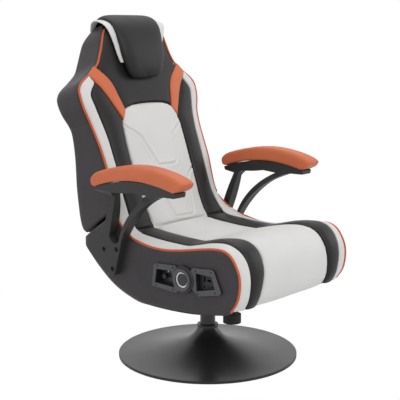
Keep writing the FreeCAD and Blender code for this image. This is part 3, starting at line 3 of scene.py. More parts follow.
import bmesh
import bpy
import numpy as np
from bpy.props import FloatProperty, FloatVectorProperty, PointerProperty
from mathutils import Euler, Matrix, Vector
from mathutils.kdtree import KDTree


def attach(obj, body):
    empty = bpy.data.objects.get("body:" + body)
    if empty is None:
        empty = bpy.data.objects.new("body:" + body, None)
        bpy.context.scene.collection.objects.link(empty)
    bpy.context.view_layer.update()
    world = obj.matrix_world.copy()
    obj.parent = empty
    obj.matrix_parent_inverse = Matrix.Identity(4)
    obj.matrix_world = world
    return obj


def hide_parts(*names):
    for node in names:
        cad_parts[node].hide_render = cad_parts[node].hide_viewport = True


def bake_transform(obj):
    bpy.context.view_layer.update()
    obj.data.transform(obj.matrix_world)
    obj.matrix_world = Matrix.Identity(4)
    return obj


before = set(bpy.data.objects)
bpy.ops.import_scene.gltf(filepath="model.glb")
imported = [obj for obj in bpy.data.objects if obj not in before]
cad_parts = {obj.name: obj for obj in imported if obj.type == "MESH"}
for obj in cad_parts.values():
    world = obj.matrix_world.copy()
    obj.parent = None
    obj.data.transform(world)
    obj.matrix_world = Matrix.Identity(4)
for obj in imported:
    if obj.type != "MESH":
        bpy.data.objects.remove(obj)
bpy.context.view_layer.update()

bl_info = {
    "name": "Pedestal Rocking Chair",
    "version": (1, 0, 0),
    "blender": (4, 5, 0),
    "location": "View3D > Sidebar > Chair",
    "description": "Upholstery, finishes and studio for a pedestal rocking chair",
    "category": "Object",
}

MM = 0.001

# Upholstery tables, in millimetres

# The seat from the crease over the front roll: middle surface (y, z), surface at the piping
# (y, z), half width of the centre cushion, half width at the bolster's outer seam.
SEAT = np.array([
    (105, 411, 93, 412, 124, 203), (60, 406, 60, 400, 124, 205), (0, 402, 0, 389, 124, 207),
    (-60, 400, -60, 388, 125, 208), (-112, 400, -110, 394, 127, 209),
    (-150, 408, -150, 401, 133, 210), (-200, 421, -200, 411, 140, 212),
    (-250, 428, -245, 418, 142, 216), (-287, 425, -282, 418, 144, 221),
    (-315, 410, -308, 405, 147, 219), (-334, 385, -327, 380, 150, 217),
    (-344, 352, -338, 352, 154, 216), (-344, 315, -339, 318, 160, 215),
    (-336, 278, -330, 282, 164, 214), (-318, 246, -307, 248, 164, 212)], float)
SEAT_LOWER = [(-293, 239), (-212, 225), (-155, 217.5), (-77, 212.8), (0, 212.4), (62, 217),
              (147, 246), (219, 294), (283, 354)]
SEAT_SIDE_REAR = [(84, 406), (112, 420), (132, 433), (150, 448), (164, 465), (172, 463),
                  (206, 437), (245, 407), (284, 378)]
# The back, measured up from the fold pivot: height, then a half width or a depth.
BACK_HALF = [(0, 250), (20, 246), (45, 243), (97, 237), (142, 234), (200, 234), (262, 235),
             (315, 239), (365, 247), (405, 259), (440, 263), (460, 261), (480, 246), (504, 209),
             (531, 175), (559, 159), (590, 146), (622, 134), (645, 118), (666, 100)]
BACK_EDGE_DEPTH = [(0, 6), (20, 13), (45, 27), (76, 38), (100, 40), (142, 36), (200, 32),
                   (262, 35), (315, 40), (365, 43), (422, 39), (457, 38), (480, 37), (504, 32),
                   (531, 26), (559, 22), (590, 16), (622, 11), (645, 12)]
BACK_SEAM_HALF = [(0, 203), (49, 203), (80, 200), (119, 200), (202, 199), (244, 200), (301, 202),
                  (346, 208), (399, 219), (431, 226), (445, 223), (460, 213), (475, 201),
                  (485, 206), (496, 213)]
BACK_BOLSTER_INNER = [(0, 124), (57, 126), (95, 128), (116, 130), (198, 133), (276, 133),
                      (326, 130), (353, 126), (379, 138), (407, 152), (432, 166), (456, 181),
                      (472, 194)]
BACK_PAD_HALF = [(0, 124), (57, 126), (95, 128), (116, 130), (198, 133), (276, 133), (326, 130),
                 (350, 126), (366, 121), (379, 112), (389, 96), (396, 70), (399, 30), (400, 0)]
BACK_FRONT = [(0, 3), (57, 11.5), (95, 14.5), (116, 16), (198, 20), (276, 21), (350, 22), (400, 23),
              (450, 24), (500, 22), (531, 19), (559, 15), (590, 9), (622, 3), (645, 4)]
UPPER_HALF = [(383, 107), (405, 112), (430, 119), (458, 127), (481, 140), (500, 158), (520, 178),
              (531, 173), (559, 157), (590, 144), (622, 131), (645, 117)]
# The arch over the back cushion, as (half width, height).
CUSHION_ARCH = [(0, 400.6), (30, 400), (70, 397), (96, 390), (112, 380.5), (121, 368), (200, 368)]
BACK_REAR = [(36, 181), (48, 196), (71, 203), (111, 203), (176, 192), (273, 162), (338, 143),
             (363, 141), (403, 147), (438, 151), (477, 150), (504, 150), (534, 143), (581, 132),
             (629, 112), (651, 89), (664, 56), (660, 34)]
STRAP = [(188, 528, 218, 499), (180, 521, 212, 498), (158, 500, 197, 476), (140, 481, 181, 457),
         (127, 458, 166, 433), (119, 430, 152, 408), (112, 405, 138, 380), (107, 386, 126, 357),
         (106, 378, 124, 348)]
HEADREST = [(474, 12, 478, 16, 44), (484, -6, 488, 13, 66), (510, -18, 514, 11, 80),
            (550, -25, 552, 6, 92), (590, -26, 592, 0, 97), (630, -20, 628, -6, 103),
            (664, -6, 650, -2, 108), (686, 16, 668, 22, 110), (692, 42, 673, 46, 108),
            (684, 68, 668, 66, 104), (664, 94, 654, 88, 98), (640, 112, 634, 104, 92)]
ACCENT_WIDTH = [0, 0, 3, 7, 12, 19, 25, 27, 24, 18, 9, 0]
ARM_PAD = [(34, 250, 50, 262), (28, 251.5, 46, 276), (8, 259, 24, 293), (-38, 270.5, -34, 310),
           (-98, 279.6, -98, 322), (-160, 281.8, -166, 325.5), (-224, 275.6, -238, 318),
           (-268, 267.4, -296, 304), (-288, 263.6, -326, 288)]
# The arm pads' rows are measured from this place, as (y, z); they reach across these x, in metres.
ARM_PLACE = [130, 306]
PAD_SPAN = (0.270, 0.328)
# The crease sheets' path: (y, z) on the seat, then (up, depth) on the back.
CREASE_SEAT = [(70, 398), (88, 398), (102, 400), (108, 404)]
CREASE_BACK = [(8, 6), (22, 10), (40, 16)]
# The seam across each side panel, from one (y, z) to the other, in metres.
SIDE_SEAM = ((0.352, 0.709), (0.269, 0.729))
# The sheet under the back: (depth, up) at its start and end, then its half width in metres.
UNDER_BACK = ((46.2, 3), (181, 36), 0.211)
STRAP_LIFT = 1.6
# Pressed seams on the back cushion, as (x, up) from the fold pivot.
PRESSED_SEAMS = [
    [(-124, 331), (-76, 292), (-66, 270), (-35, 200), (-26, 193), (35, 191), (54, 197), (64, 220),
     (74, 283), (82, 296), (117, 319)],
    [(-124, 190), (-62, 128), (-41, 72), (-26, 30), (-17, 22), (48, 18), (61, 24), (74, 56),
     (92, 140), (130, 172)]]

PIVOT = np.array([0.0, 0.107, 0.412])
RECLINE = math.radians(19)
SEAT_HALF = 0.258
SIDES = ((1, "left"), (-1, "right"))
SIDE_SWELL, SIDE_PADDING, SIDE_LEAN, SIDE_THICK = 0.005, 0.0035, 0.027, 0.0185
HOLE_DEPTH, WELT_RADIUS = 0.0225, 0.0021
# Half the gap between two pads that meet at a seam, in millimetres.
SEAM_GAP = 0.3
# Ellipses round the control panel, as the middle's y and z, then half lengths; its holes; its dial.
PANEL_ZONE = [(-60, 312, 62, 48), (-137, 315, 46, 46), (-224, 318, 66, 50)]
PANEL_HOLES = [
    [(-22, 285), (-105, 282), (-92, 337), (-29, 333)],
    [(-184, 286), (-261, 303), (-246, 345), (-180, 345)]]
DIAL_HUB = (-137, 315, 25)


def length(name, description, default, least=0.0):
    return FloatProperty(name=name, description=description, default=default, min=least,
                         unit="LENGTH")


def tint(name, description, default):
    return FloatVectorProperty(name=name, description=description, default=default, size=3,
                               subtype="COLOR")


class ChairSizes(bpy.types.PropertyGroup):
    """Sizes a user may change, in metres."""

    piping: length("Piping radius", "Radius of the orange piping", 0.0034, 0.001)
    seat_crown: length("Seat crown", "Height of the seat cushion over its seams", 0.0075)
    back_crown: length("Back crown", "Height of the back cushion over its seams", 0.008)
    bolster_crown: length("Bolster crown", "Height of the bolsters over their seams", 0.0065)
    seam_dip: length("Seam dip", "How far a seam is drawn in", 0.0035)
    press_depth: length("Pressed seam depth", "Depth of the pressed seams in the back", 0.0042)


class ChairColours(bpy.types.PropertyGroup):
    """Colours a user may change."""

    black_vinyl: tint("Black vinyl", "Front panels, bolsters and headrest", (0.017, 0.0155, 0.0155))
    side_vinyl: tint("Side vinyl", "Side and rear panels", (0.034, 0.029, 0.033))
    white_vinyl: tint("White vinyl", "Cushions and edge bands", (0.71, 0.705, 0.69))
    orange_vinyl: tint("Orange vinyl", "Armrest pads and shoulder straps", (0.62, 0.155, 0.062))
    orange_piping: tint("Orange piping", "Piping round the seat and back", (0.56, 0.105, 0.035))
    moulding: tint("Arm moulding", "Arm brackets", (0.023, 0.022, 0.022))
    panel: tint("Panel moulding", "Control panel", (0.072, 0.070, 0.080))
    paint: tint("Base paint", "Pedestal base", (0.022, 0.022, 0.023))


def sizes():
    return bpy.context.scene.chair_sizes


def colours():
    return bpy.context.scene.chair_colours


# Curves

def through(rows, at):
    """Values on a smooth curve through rows of (station, value, ...).

    Between two rows the value is the cubic Hermite blend whose slopes are the chords of the
    neighbouring rows.
    """
    rows = np.asarray(rows, float)
    x, y = rows[:, 0], rows[:, 1:]
    slope = np.gradient(y, axis=0)
    slope[1:-1] = (y[2:] - y[:-2]) / (x[2:] - x[:-2])[:, None]
    slope[0] = (y[1] - y[0]) / (x[1] - x[0])
    slope[-1] = (y[-1] - y[-2]) / (x[-1] - x[-2])
    at = np.clip(np.asarray(at, float), x[0], x[-1])
    i = np.clip(np.searchsorted(x, at, side="right") - 1, 0, len(x) - 2)
    span = (x[i + 1] - x[i])[:, None]
    t = (at - x[i])[:, None] / span
    value = (y[i] * (1 + 2 * t) * (1 - t) ** 2 + slope[i] * span * t * (1 - t) ** 2
             + y[i + 1] * t * t * (3 - 2 * t) - slope[i + 1] * span * t * t * (1 - t))
    return value[:, 0] if value.shape[1] == 1 else value


def smoothed(rows, count=400):
    """Places on the smooth curve through the rows, as many from each row to the next."""
    rows = np.asarray(rows, float)
    numbered = np.column_stack([np.arange(len(rows)), rows])
    return through(numbered, np.linspace(0, len(rows) - 1, count))


def evenly(points, count, columns=None):
    """The points of a line spaced out to equal lengths, measured in the first columns."""
    points = np.asarray(points, float)
    steps = np.linalg.norm(np.diff(points[:, :columns], axis=0), axis=1)
    run = np.r_[0, np.cumsum(steps)]
    at = np.linspace(0, run[-1], count)
    return np.stack([np.interp(at, run, column) for column in points.T], axis=1)


def along_rows(rows, count):
    """Rows resampled smoothly and spaced evenly by the length of their first two columns."""
    return evenly(smoothed(rows), count, 2)


def smooth_line(points, count):
    """Evenly spaced places on the smooth curve through the points."""
    return evenly(smoothed(points), count)


def unit(vectors):
    return vectors / np.linalg.norm(vectors, axis=-1)[..., None]


def on_back(x, depth, up):
    """Places in the chair's frame, in metres, of points on the upright back in millimetres.

    y = pivot + depth cos r + up sin r, z = pivot - depth sin r + up cos r, with recline r.
    """
    x, depth, up = np.broadcast_arrays(x, depth, up)
    c, s = math.cos(RECLINE), math.sin(RECLINE)
    return np.stack([x * MM, PIVOT[1] + (depth * c + up * s) * MM,
                     PIVOT[2] + (up * c - depth * s) * MM], axis=-1)


def to_back(points):
    """The inverse of on_back: x, depth and up in millimetres."""
    c, s = math.cos(RECLINE), math.sin(RECLINE)
    y, z = points[:, 1] - PIVOT[1], points[:, 2] - PIVOT[2]
    return points[:, 0] / MM, (y * c - z * s) / MM, (y * s + z * c) / MM


def back_front(half, up):
    """Depth of the front surface: middle + (edge - middle) (x / half width)^6."""
    middle, edge, wide = through(BACK_FRONT, up), through(BACK_EDGE_DEPTH, up), through(BACK_HALF, up)
    return middle + (edge - middle) * np.minimum(1, np.abs(half) / wide) ** 6


def out_of_back(count):
    """The direction out of the back's front, once for each row."""
    return np.broadcast_to([0.0, -math.cos(RECLINE), math.sin(RECLINE)], (count, 3))


# Meshes

def mesh_object(name, vertices, faces):
    """A new mesh object, doubles merged and normals turned outwards."""
    mesh = bpy.data.meshes.new(name)
    mesh.from_pydata(np.asarray(vertices).reshape(-1, 3).tolist(), [], np.asarray(faces).tolist())
    form = bmesh.new()
    form.from_mesh(mesh)
    bmesh.ops.remove_doubles(form, verts=form.verts, dist=2e-5)
    bmesh.ops.recalc_face_normals(form, faces=form.faces)
    form.to_mesh(mesh)
    form.free()
    mesh.shade_smooth()
    piece = bpy.data.objects.new(name, mesh)
    bpy.context.scene.collection.objects.link(piece)
    return piece


def grid_faces(rows, columns):
    """Quads of a grid of rows by columns, closed across the columns."""
    i, j = np.meshgrid(np.arange(rows - 1), np.arange(columns), indexing="ij")
    after = (j + 1) % columns
    corners = [i * columns + j, i * columns + after, (i + 1) * columns + after,
               (i + 1) * columns + j]
    return np.stack(corners, axis=-1).reshape(-1, 4)


def skin(name, points):
    """A surface through a grid of points, closed across its columns."""
    return mesh_object(name, points, grid_faces(*points.shape[:2]))


def pillow_points(base, normal, top, deep, dip, ends, shape=(2.6, 2.0), flat=(10.0, 2.0)):
    """The grid of a stuffed strip.

    base(a) gives the surface line for a from -1 to 1 between the seams. The top stands
    (top + dip) (1 - |a|^p)^(1/q) - dip off it and the underside lies deep (1 - |a|^p')^(1/q')
    + dip under it. Towards both ends both heights shrink on a quarter circle of length ends.
    """
    a = -np.cos(np.linspace(0, np.pi, 25))
    line = base(a)
    middle = line[:, 12]
    run = np.r_[0, np.cumsum(np.linalg.norm(np.diff(middle, axis=0), axis=1))]
    near = np.minimum(run, run[-1] - run)
    e = np.clip(near / max(ends, 1e-6), 0, 1)
    shrink = np.sqrt(np.clip(1 - (1 - e) ** 2, 0, 1))[:, None]
    top, deep = np.broadcast_to(top, run.shape)[:, None], np.broadcast_to(deep, run.shape)[:, None]
    upper = (top + dip) * (1 - np.abs(a) ** shape[0]).clip(0) ** (1 / shape[1]) * shrink - dip
    lower = -deep * (1 - np.abs(a) ** flat[0]).clip(0) ** (1 / flat[1]) * shrink - dip
    over = line + normal[:, None] * upper[..., None]
    under = line + normal[:, None] * lower[..., None]
    return np.concatenate([over, under[:, -2:0:-1]], axis=1)


def pillow(name, base, normal, top, deep, dip=None, ends=0.008, **shapes):
    """A stuffed strip as a closed mesh."""
    dip = sizes().seam_dip if dip is None else dip
    return skin(name, pillow_points(base, normal, top, deep, dip, ends, **shapes))


def tube(name, points, radius, sides=12):
    """A round tube: each point's ring is radius (cos s, sin s) in the plane across the path."""
    points = np.asarray(points, float)
    along = unit(np.gradient(points, axis=0))
    side = unit(np.cross(along, [1.0, 0.0, 0.0]))
    third = np.cross(along, side)
    turn = np.linspace(0, 2 * np.pi, sides, endpoint=False)
    ring = side[:, None] * np.cos(turn)[None, :, None] + third[:, None] * np.sin(turn)[None, :, None]
    swell = np.ones(len(points))
    swell[[0, -1]] = 0.0
    swell[[1, -2]] = 0.85
    grid = points[:, None] + ring * radius * swell[:, None, None]
    return skin(name, grid)


def joined(name, pieces):
    """Several new pieces made one object."""
    form = bmesh.new()
    for piece in pieces:
        form.from_mesh(piece.data)
        bpy.data.objects.remove(piece)
    mesh = bpy.data.meshes.new(name)
    form.to_mesh(mesh)
    form.free()
    mesh.shade_smooth()
    piece = bpy.data.objects.new(name, mesh)
    bpy.context.scene.collection.objects.link(piece)
    return piece


def read_points(piece):
    places = np.empty(len(piece.data.vertices) * 3)
    piece.data.vertices.foreach_get("co", places)
    return places.reshape(-1, 3)


def write_points(piece, places):
    piece.data.vertices.foreach_set("co", places.reshape(-1))
    piece.data.update()


def baked(piece):
    """Applies the piece's modifiers to its mesh."""
    graph = bpy.context.evaluated_depsgraph_get()
    mesh = bpy.data.meshes.new_from_object(piece.evaluated_get(graph))
    piece.modifiers.clear()
    piece.data = mesh
    mesh.shade_smooth()


def even_mesh(piece, voxel):
    """Remeshes the piece with even faces."""
    remesh = piece.modifiers.new("Even mesh", "REMESH")
    remesh.mode = "VOXEL"
    remesh.voxel_size = voxel
    baked(piece)


def stuffed(piece, held, hold=0.007, pressure=4.0, frames=20):
    """How far a short cloth run under pressure moves each point, with the seam points held."""
    before = read_points(piece)
    tree = KDTree(len(held))
    for index, point in enumerate(held):
        tree.insert(point, index)
    tree.balance()
    group = piece.vertex_groups.new(name="Seams")
    for index, point in enumerate(before):
        if tree.find(point)[2] < hold:
            group.add([index], 1.0, "REPLACE")
    cloth = piece.modifiers.new("Stuffing", "CLOTH")
    settings = cloth.settings
    settings.quality = 4
    settings.mass = 0.3
    settings.use_pressure = True
    settings.uniform_pressure_force = pressure
    settings.effector_weights.gravity = 0
    settings.vertex_group_mass = "Seams"
    settings.tension_stiffness = settings.compression_stiffness = 12
    settings.bending_stiffness = 0.4
    cloth.collision_settings.use_collision = False
    cloth.point_cache.frame_start, cloth.point_cache.frame_end = 1, frames
    scene = bpy.context.scene
    for at in range(1, frames + 1):
        scene.frame_set(at)
    swollen = piece.evaluated_get(bpy.context.evaluated_depsgraph_get())
    move = read_points(swollen) - before
    piece.modifiers.clear()
    piece.vertex_groups.clear()
    scene.frame_set(1)
    return move


def refine(piece):
    """Applies one subdivision."""
    smooth = piece.modifiers.new("Finer skin", "SUBSURF")
    smooth.levels = smooth.render_levels = 1
    baked(piece)


def puff(piece, held, voxel, cap):
    """Stuffs the piece, held along the seam points, by no more than cap, and refines it."""
    even_mesh(piece, voxel)
    move = stuffed(piece, held)
    length = np.linalg.norm(move, axis=1)[:, None]
    move *= np.minimum(1, cap / np.maximum(length, 1e-9))
    write_points(piece, read_points(piece) + move)
    refine(piece)


# Materials

def node_of(tree, kind):
    return next(node for node in tree.nodes if node.type == kind)


class Surface:
    """A material in the making: a Principled shader and the nodes that feed it."""

    def __init__(self, name, roughness, specular=0.5):
        self.material = bpy.data.materials.new(name)
        self.material.use_nodes = True
        self.tree = self.material.node_tree
        self.shader = node_of(self.tree, "BSDF_PRINCIPLED")
        self.feed("Roughness", roughness)
        self.feed("Specular IOR Level", specular)
        self.place = self.add("TexCoord").outputs["Object"]

    def feed(self, name, source, node=None):
        """Links an output to an input of the shader or another node, or sets its value."""
        socket = (node or self.shader).inputs[name]
        if hasattr(source, "is_output"):
            self.tree.links.new(source, socket)
        else:
            socket.default_value = source

    def add(self, kind, **inputs):
        node = self.tree.nodes.new("ShaderNode" + kind)
        for name, source in inputs.items():
            self.feed(name.replace("_", " "), source, node)
        return node

    def noise(self, scale, **inputs):
        inputs = {"Vector": self.place, **inputs}
        return self.add("TexNoise", Scale=scale, **inputs).outputs["Fac"]

    def ramp(self, source, colours, stops=(0.0, 1.0)):
        """Base colour that runs from one colour to the other as the source grows."""
        ramp = self.add("ValToRGB", Fac=source)
        for stop, position, colour in zip(ramp.color_ramp.elements, stops, colours):
            stop.position, stop.color = position, (*colour, 1)
        self.feed("Base Color", ramp.outputs["Color"])
        return ramp.outputs["Color"]

    def tint(self, colour, scale, spread):
        """Base colour that drifts between colour x (1 - spread) and colour x (1 + spread)."""
        ends = [[min(1, channel * share) for channel in colour] for share in (1 - spread, 1 + spread)]
        return self.ramp(self.noise(scale, Detail=3.0), ends, (0.3, 0.7))

    def bump(self, source, distance, strength, **under):
        normal = self.add("Bump", Height=source, Distance=distance, Strength=strength,
                          **under).outputs["Normal"]
        self.feed("Normal", normal)
        return normal

    def uneven(self, source, low, high):
        """Roughness that follows a texture between low and high."""
        span = self.add("MapRange", Value=source, To_Min=low, To_Max=high)
        self.feed("Roughness", span.outputs["Result"])


def vinyl(name, colour, roughness=0.46, grain=0.00016, spread=0.05, crease=0.0004,
          specular=0.3):
    """Upholstery vinyl: pebbled grain, slow waves in the cloth behind it, and a trace of sheen."""
    surface = Surface(name, roughness, specular)
    surface.tint(colour, 9.0, spread)
    waves = surface.noise(24.0, Detail=3.0, Roughness=0.55)
    pebbles = surface.add("TexVoronoi", Vector=surface.place, Scale=620.0)
    pebbles.feature = "SMOOTH_F1"
    slow = surface.bump(waves, crease, 0.55)
    surface.bump(pebbles.outputs["Distance"], grain, 0.5, Normal=slow)
    surface.uneven(waves, roughness - 0.07, roughness + 0.07)
    surface.feed("Sheen Weight", 0.02)
    surface.feed("Sheen Roughness", 0.5)
    return surface.material


def moulded(name, colour, roughness=0.5, face=None):
    """Injection-moulded plastic: fine spark texture and slightly uneven gloss.

    With a face, in metres, what lies less far from the chair's middle on the -X side is painted dark:
    painted shade in the panel's recesses behind the face.
    """
    surface = Surface(name, roughness, 0.35)
    shade = surface.tint(colour, 30.0, 0.05)
    surface.bump(surface.noise(900.0, Detail=4.0, Roughness=0.7), 0.00012, 0.45)
    surface.uneven(surface.noise(45.0), roughness - 0.06, roughness + 0.06)
    if face is not None:
        # Painted shade: the colour drops to a fifth just behind the face, darkening the recesses as
        # shade would.
        axes = surface.add("SeparateXYZ", Vector=surface.place)
        depth = surface.add("MapRange", Value=axes.outputs["X"], From_Min=-face,
                            From_Max=0.0015 - face, To_Min=1.0, To_Max=0.2)
        dim = surface.add("VectorMath")
        dim.operation = "SCALE"
        surface.feed("Vector", shade, dim)
        surface.feed("Scale", depth.outputs["Result"], dim)
        surface.feed("Base Color", dim.outputs["Vector"])
    return surface.material


def painted(name, colour, roughness=0.32, metallic=0.0):
    """Powder coat: faint orange peel and worn-in gloss changes."""
    surface = Surface(name, roughness)
    surface.tint(colour, 5.0, 0.06)
    surface.bump(surface.noise(260.0, Detail=2.0), 0.00008, 0.4)
    surface.uneven(surface.noise(7.0), roughness - 0.05, roughness + 0.07)
    surface.feed("Metallic", metallic)
    return surface.material


def ply(name):
    """Birch plywood: long soft bands of grain."""
    surface = Surface(name, 0.6)
    stretch = surface.add("Mapping", Vector=surface.place, Scale=(3.0, 40.0, 40.0))
    grain = surface.noise(2.0, Vector=stretch.outputs["Vector"], Detail=5.0)
    surface.ramp(grain, ((0.42, 0.29, 0.17), (0.60, 0.46, 0.30)))
    surface.bump(grain, 0.0002, 0.3)
    return surface.material


def fleece(name, colour):
    """Non-woven dust cover: crossed fibres."""
    surface = Surface(name, 0.85, 0.2)
    surface.tint(colour, 60.0, 0.2)
    surface.bump(surface.noise(420.0, Detail=6.0, Distortion=1.5), 0.0003, 0.6)
    return surface.material


def glowing(name):
    """The pale ring round the dial: milky plastic, faintly lit from behind."""
    surface = Surface(name, 0.3)
    surface.tint((0.82, 0.84, 0.86), 90.0, 0.06)
    surface.feed("Emission Color", (0.9, 0.95, 1.0, 1))
    surface.feed("Emission Strength", 0.12)
    return surface.material


def make_materials():
    """Every finish by a short name."""
    shade = colours()
    return {
        "black": vinyl("Black_vinyl", shade.black_vinyl, 0.45, crease=0.0007,
                       specular=0.22),
        "side": vinyl("Side_vinyl", shade.side_vinyl, 0.5, crease=0.0011),
        "white": vinyl("White_vinyl", shade.white_vinyl, 0.5, 0.00012, 0.02),
        "orange": vinyl("Orange_vinyl", shade.orange_vinyl, 0.48),
        "piping": vinyl("Piping_vinyl", shade.orange_piping, 0.42, 0.00008),
        "arm": moulded("Arm_moulding", shade.moulding, 0.48),
        # The panel moulding carries painted shade in its recesses behind the face.
        "panel": moulded("Panel_moulding", shade.panel, 0.45, face=0.2637),
        "dial": moulded("Dial_moulding", shade.panel, 0.4),
        "dark": moulded("Dark_moulding", (0.02, 0.02, 0.021), 0.4),
        "knob": moulded("Knob_moulding", (0.018, 0.018, 0.018), 0.55),
        "nylon": moulded("Nylon", (0.68, 0.67, 0.62), 0.4),
        "base": painted("Base_paint", shade.paint, 0.30),
        "column": painted("Column_paint", (0.03, 0.03, 0.031), 0.34),
        "steel": painted("Black_steel", (0.035, 0.035, 0.037), 0.42),
        "zinc": painted("Zinc_steel", (0.42, 0.42, 0.41), 0.3, 1.0),
        "rim": moulded("Rim_rubber", (0.012, 0.012, 0.012), 0.5),
        "ply": ply("Plywood"),
        "dust": fleece("Dust_cover", (0.02, 0.02, 0.021)),
        "glow": glowing("Light_ring"),
        "cap": moulded("Cap_plastic", (0.03, 0.03, 0.034), 0.22),
        "pale": moulded("Pale_button", (0.42, 0.42, 0.43), 0.3),
    }


MATERIALS = {}


def finish(piece, body, material, nodes=()):
    """Dresses a new piece, parents it to what it rides on and hides the parts it stands for."""
    piece.data.materials.clear()
    piece.data.materials.append(MATERIALS[material])
    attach(piece, body)
    if nodes:
        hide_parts(*nodes)


# Seat

def seat_rows(count):
    """The seat's stations resampled, in metres, and the surface's normal at each."""
    rows = along_rows(SEAT, count) * MM
    along = unit(np.gradient(rows[:, :2], axis=0))
    normal = np.stack([np.zeros(len(rows)), along[:, 1], -along[:, 0]], axis=1)
    return rows, normal


def between(low, high):
    """A base function: the straight line from low to high as a goes from -1 to 1."""
    def base(a):
        share = ((a + 1) / 2)[None, :, None]
        return low[:, None] + (high - low)[:, None] * share
    return base


class CHAIR_OT_seat_pads(bpy.types.Operator):
    """Make the seat cushion, its bolsters and its edge bands"""

    bl_idname = "chair.seat_pads"
    bl_label = "Seat pads"

    def execute(self, context):
        size = sizes()
        rows, normal = seat_rows(110)
        middle, edge = rows[:, 0:2], rows[:, 2:4]
        inner, seam = rows[:, 4], rows[:, 5]
        gap = SEAM_GAP * MM

        def points(x, place):
            return np.column_stack([x, place])
        low, high = points(-inner + gap, middle), points(inner - gap, middle)
        cushion = pillow("Seat_cushion", between(low, high), normal, size.seat_crown, deep=0.026,
                         ends=0.012)
        puff(cushion, np.concatenate([low, high]), voxel=0.0065, cap=0.004)
        finish(cushion, "seat", "white", ["seat_cushion"])
        for side, name in SIDES:
            turn = np.array([side, 1.0, 1.0])
            low, high = points(inner + gap, middle) * turn, points(seam - gap, middle) * turn
            bolster = pillow("Seat_bolster_" + name, between(low, high), normal,
                             size.bolster_crown, deep=0.026, ends=0.010)
            puff(bolster, np.concatenate([low, high]), voxel=0.006, cap=0.003)
            finish(bolster, "seat", "black", ["seat_bolster_" + name])
            low = points(seam + gap, middle) * turn
            high = points(np.full(len(rows), SEAT_HALF - 0.0042), edge) * turn
            band = pillow("Seat_edge_" + name, between(low, high), normal, top=0.0035, deep=0.018,
                          dip=0.0022, ends=0.006)
            refine(band)
            finish(band, "seat", "white", ["seat_edge_" + name])
        return {"FINISHED"}


def seat_piping_path():
    """The seat piping's path in metres: foot, front roll, dip and rise to the fold seam."""
    rows = SEAT[:0:-1]
    path = [(SEAT_HALF / MM - 1.0, y, z) for y, z in rows[:, 2:4]]
    path += [(252, 84, 406), (248, 112, 420), (245, 132, 433), (242, 150, 448), (238, 166, 465)]
    return smooth_line(path, 220) * MM


def back_piping_path():
    """The back piping's path in metres, from the fold seam to the headrest."""
    up = np.linspace(74, 642, 240)
    path = on_back(through(BACK_HALF, up) - 1.0, through(BACK_EDGE_DEPTH, up) + 0.2, up)
    return evenly(path, 220)


class CHAIR_OT_piping(bpy.types.Operator):
    """Make the orange piping round the seat and the back"""

    bl_idname = "chair.piping"
    bl_label = "Piping"

    def execute(self, context):
        radius = sizes().piping
        for name, path, body, node in (
                ("Seat_piping", seat_piping_path(), "seat", "seat_piping"),
                ("Back_piping", back_piping_path(), "back", "back_piping")):
            pair = [tube("Tube", path * [side, 1.0, 1.0], radius) for side, _ in SIDES]
            finish(joined(name, pair), body, "piping", [node])
        return {"FINISHED"}


def near_zone(y, z):
    """1 near the control panel and 0 well away from it."""
    nearest = np.full(y.shape, 9.0)
    for mid_y, mid_z, half_y, half_z in PANEL_ZONE:
        nearest = np.minimum(nearest, np.hypot((y - mid_y) / half_y, (z - mid_z) / half_z))
    return np.clip((1.8 - nearest) / 0.6, 0, 1)


def inside(corners, y, z):
    """Whether places lie inside a convex loop of corners."""
    turns = np.array([(y1 - y0) * (z - z0) - (z1 - z0) * (y - y0)
                      for (y0, z0), (y1, z1) in zip(corners, corners[1:] + corners[:1])])
    return (turns > 0).all(axis=0) | (turns < 0).all(axis=0)


def seat_side_outlines(count):
    """The seat side's lower and upper outline, as (y, z) in millimetres."""
    upper = np.array([(y, z) for y, z in SEAT[:0:-1, 2:4]] + SEAT_SIDE_REAR)
    lower = np.array([(-300, 242)] + SEAT_LOWER)
    return [along_rows(np.column_stack([line, line[:, 0]]), count)[:, :2] for line in (lower, upper)]


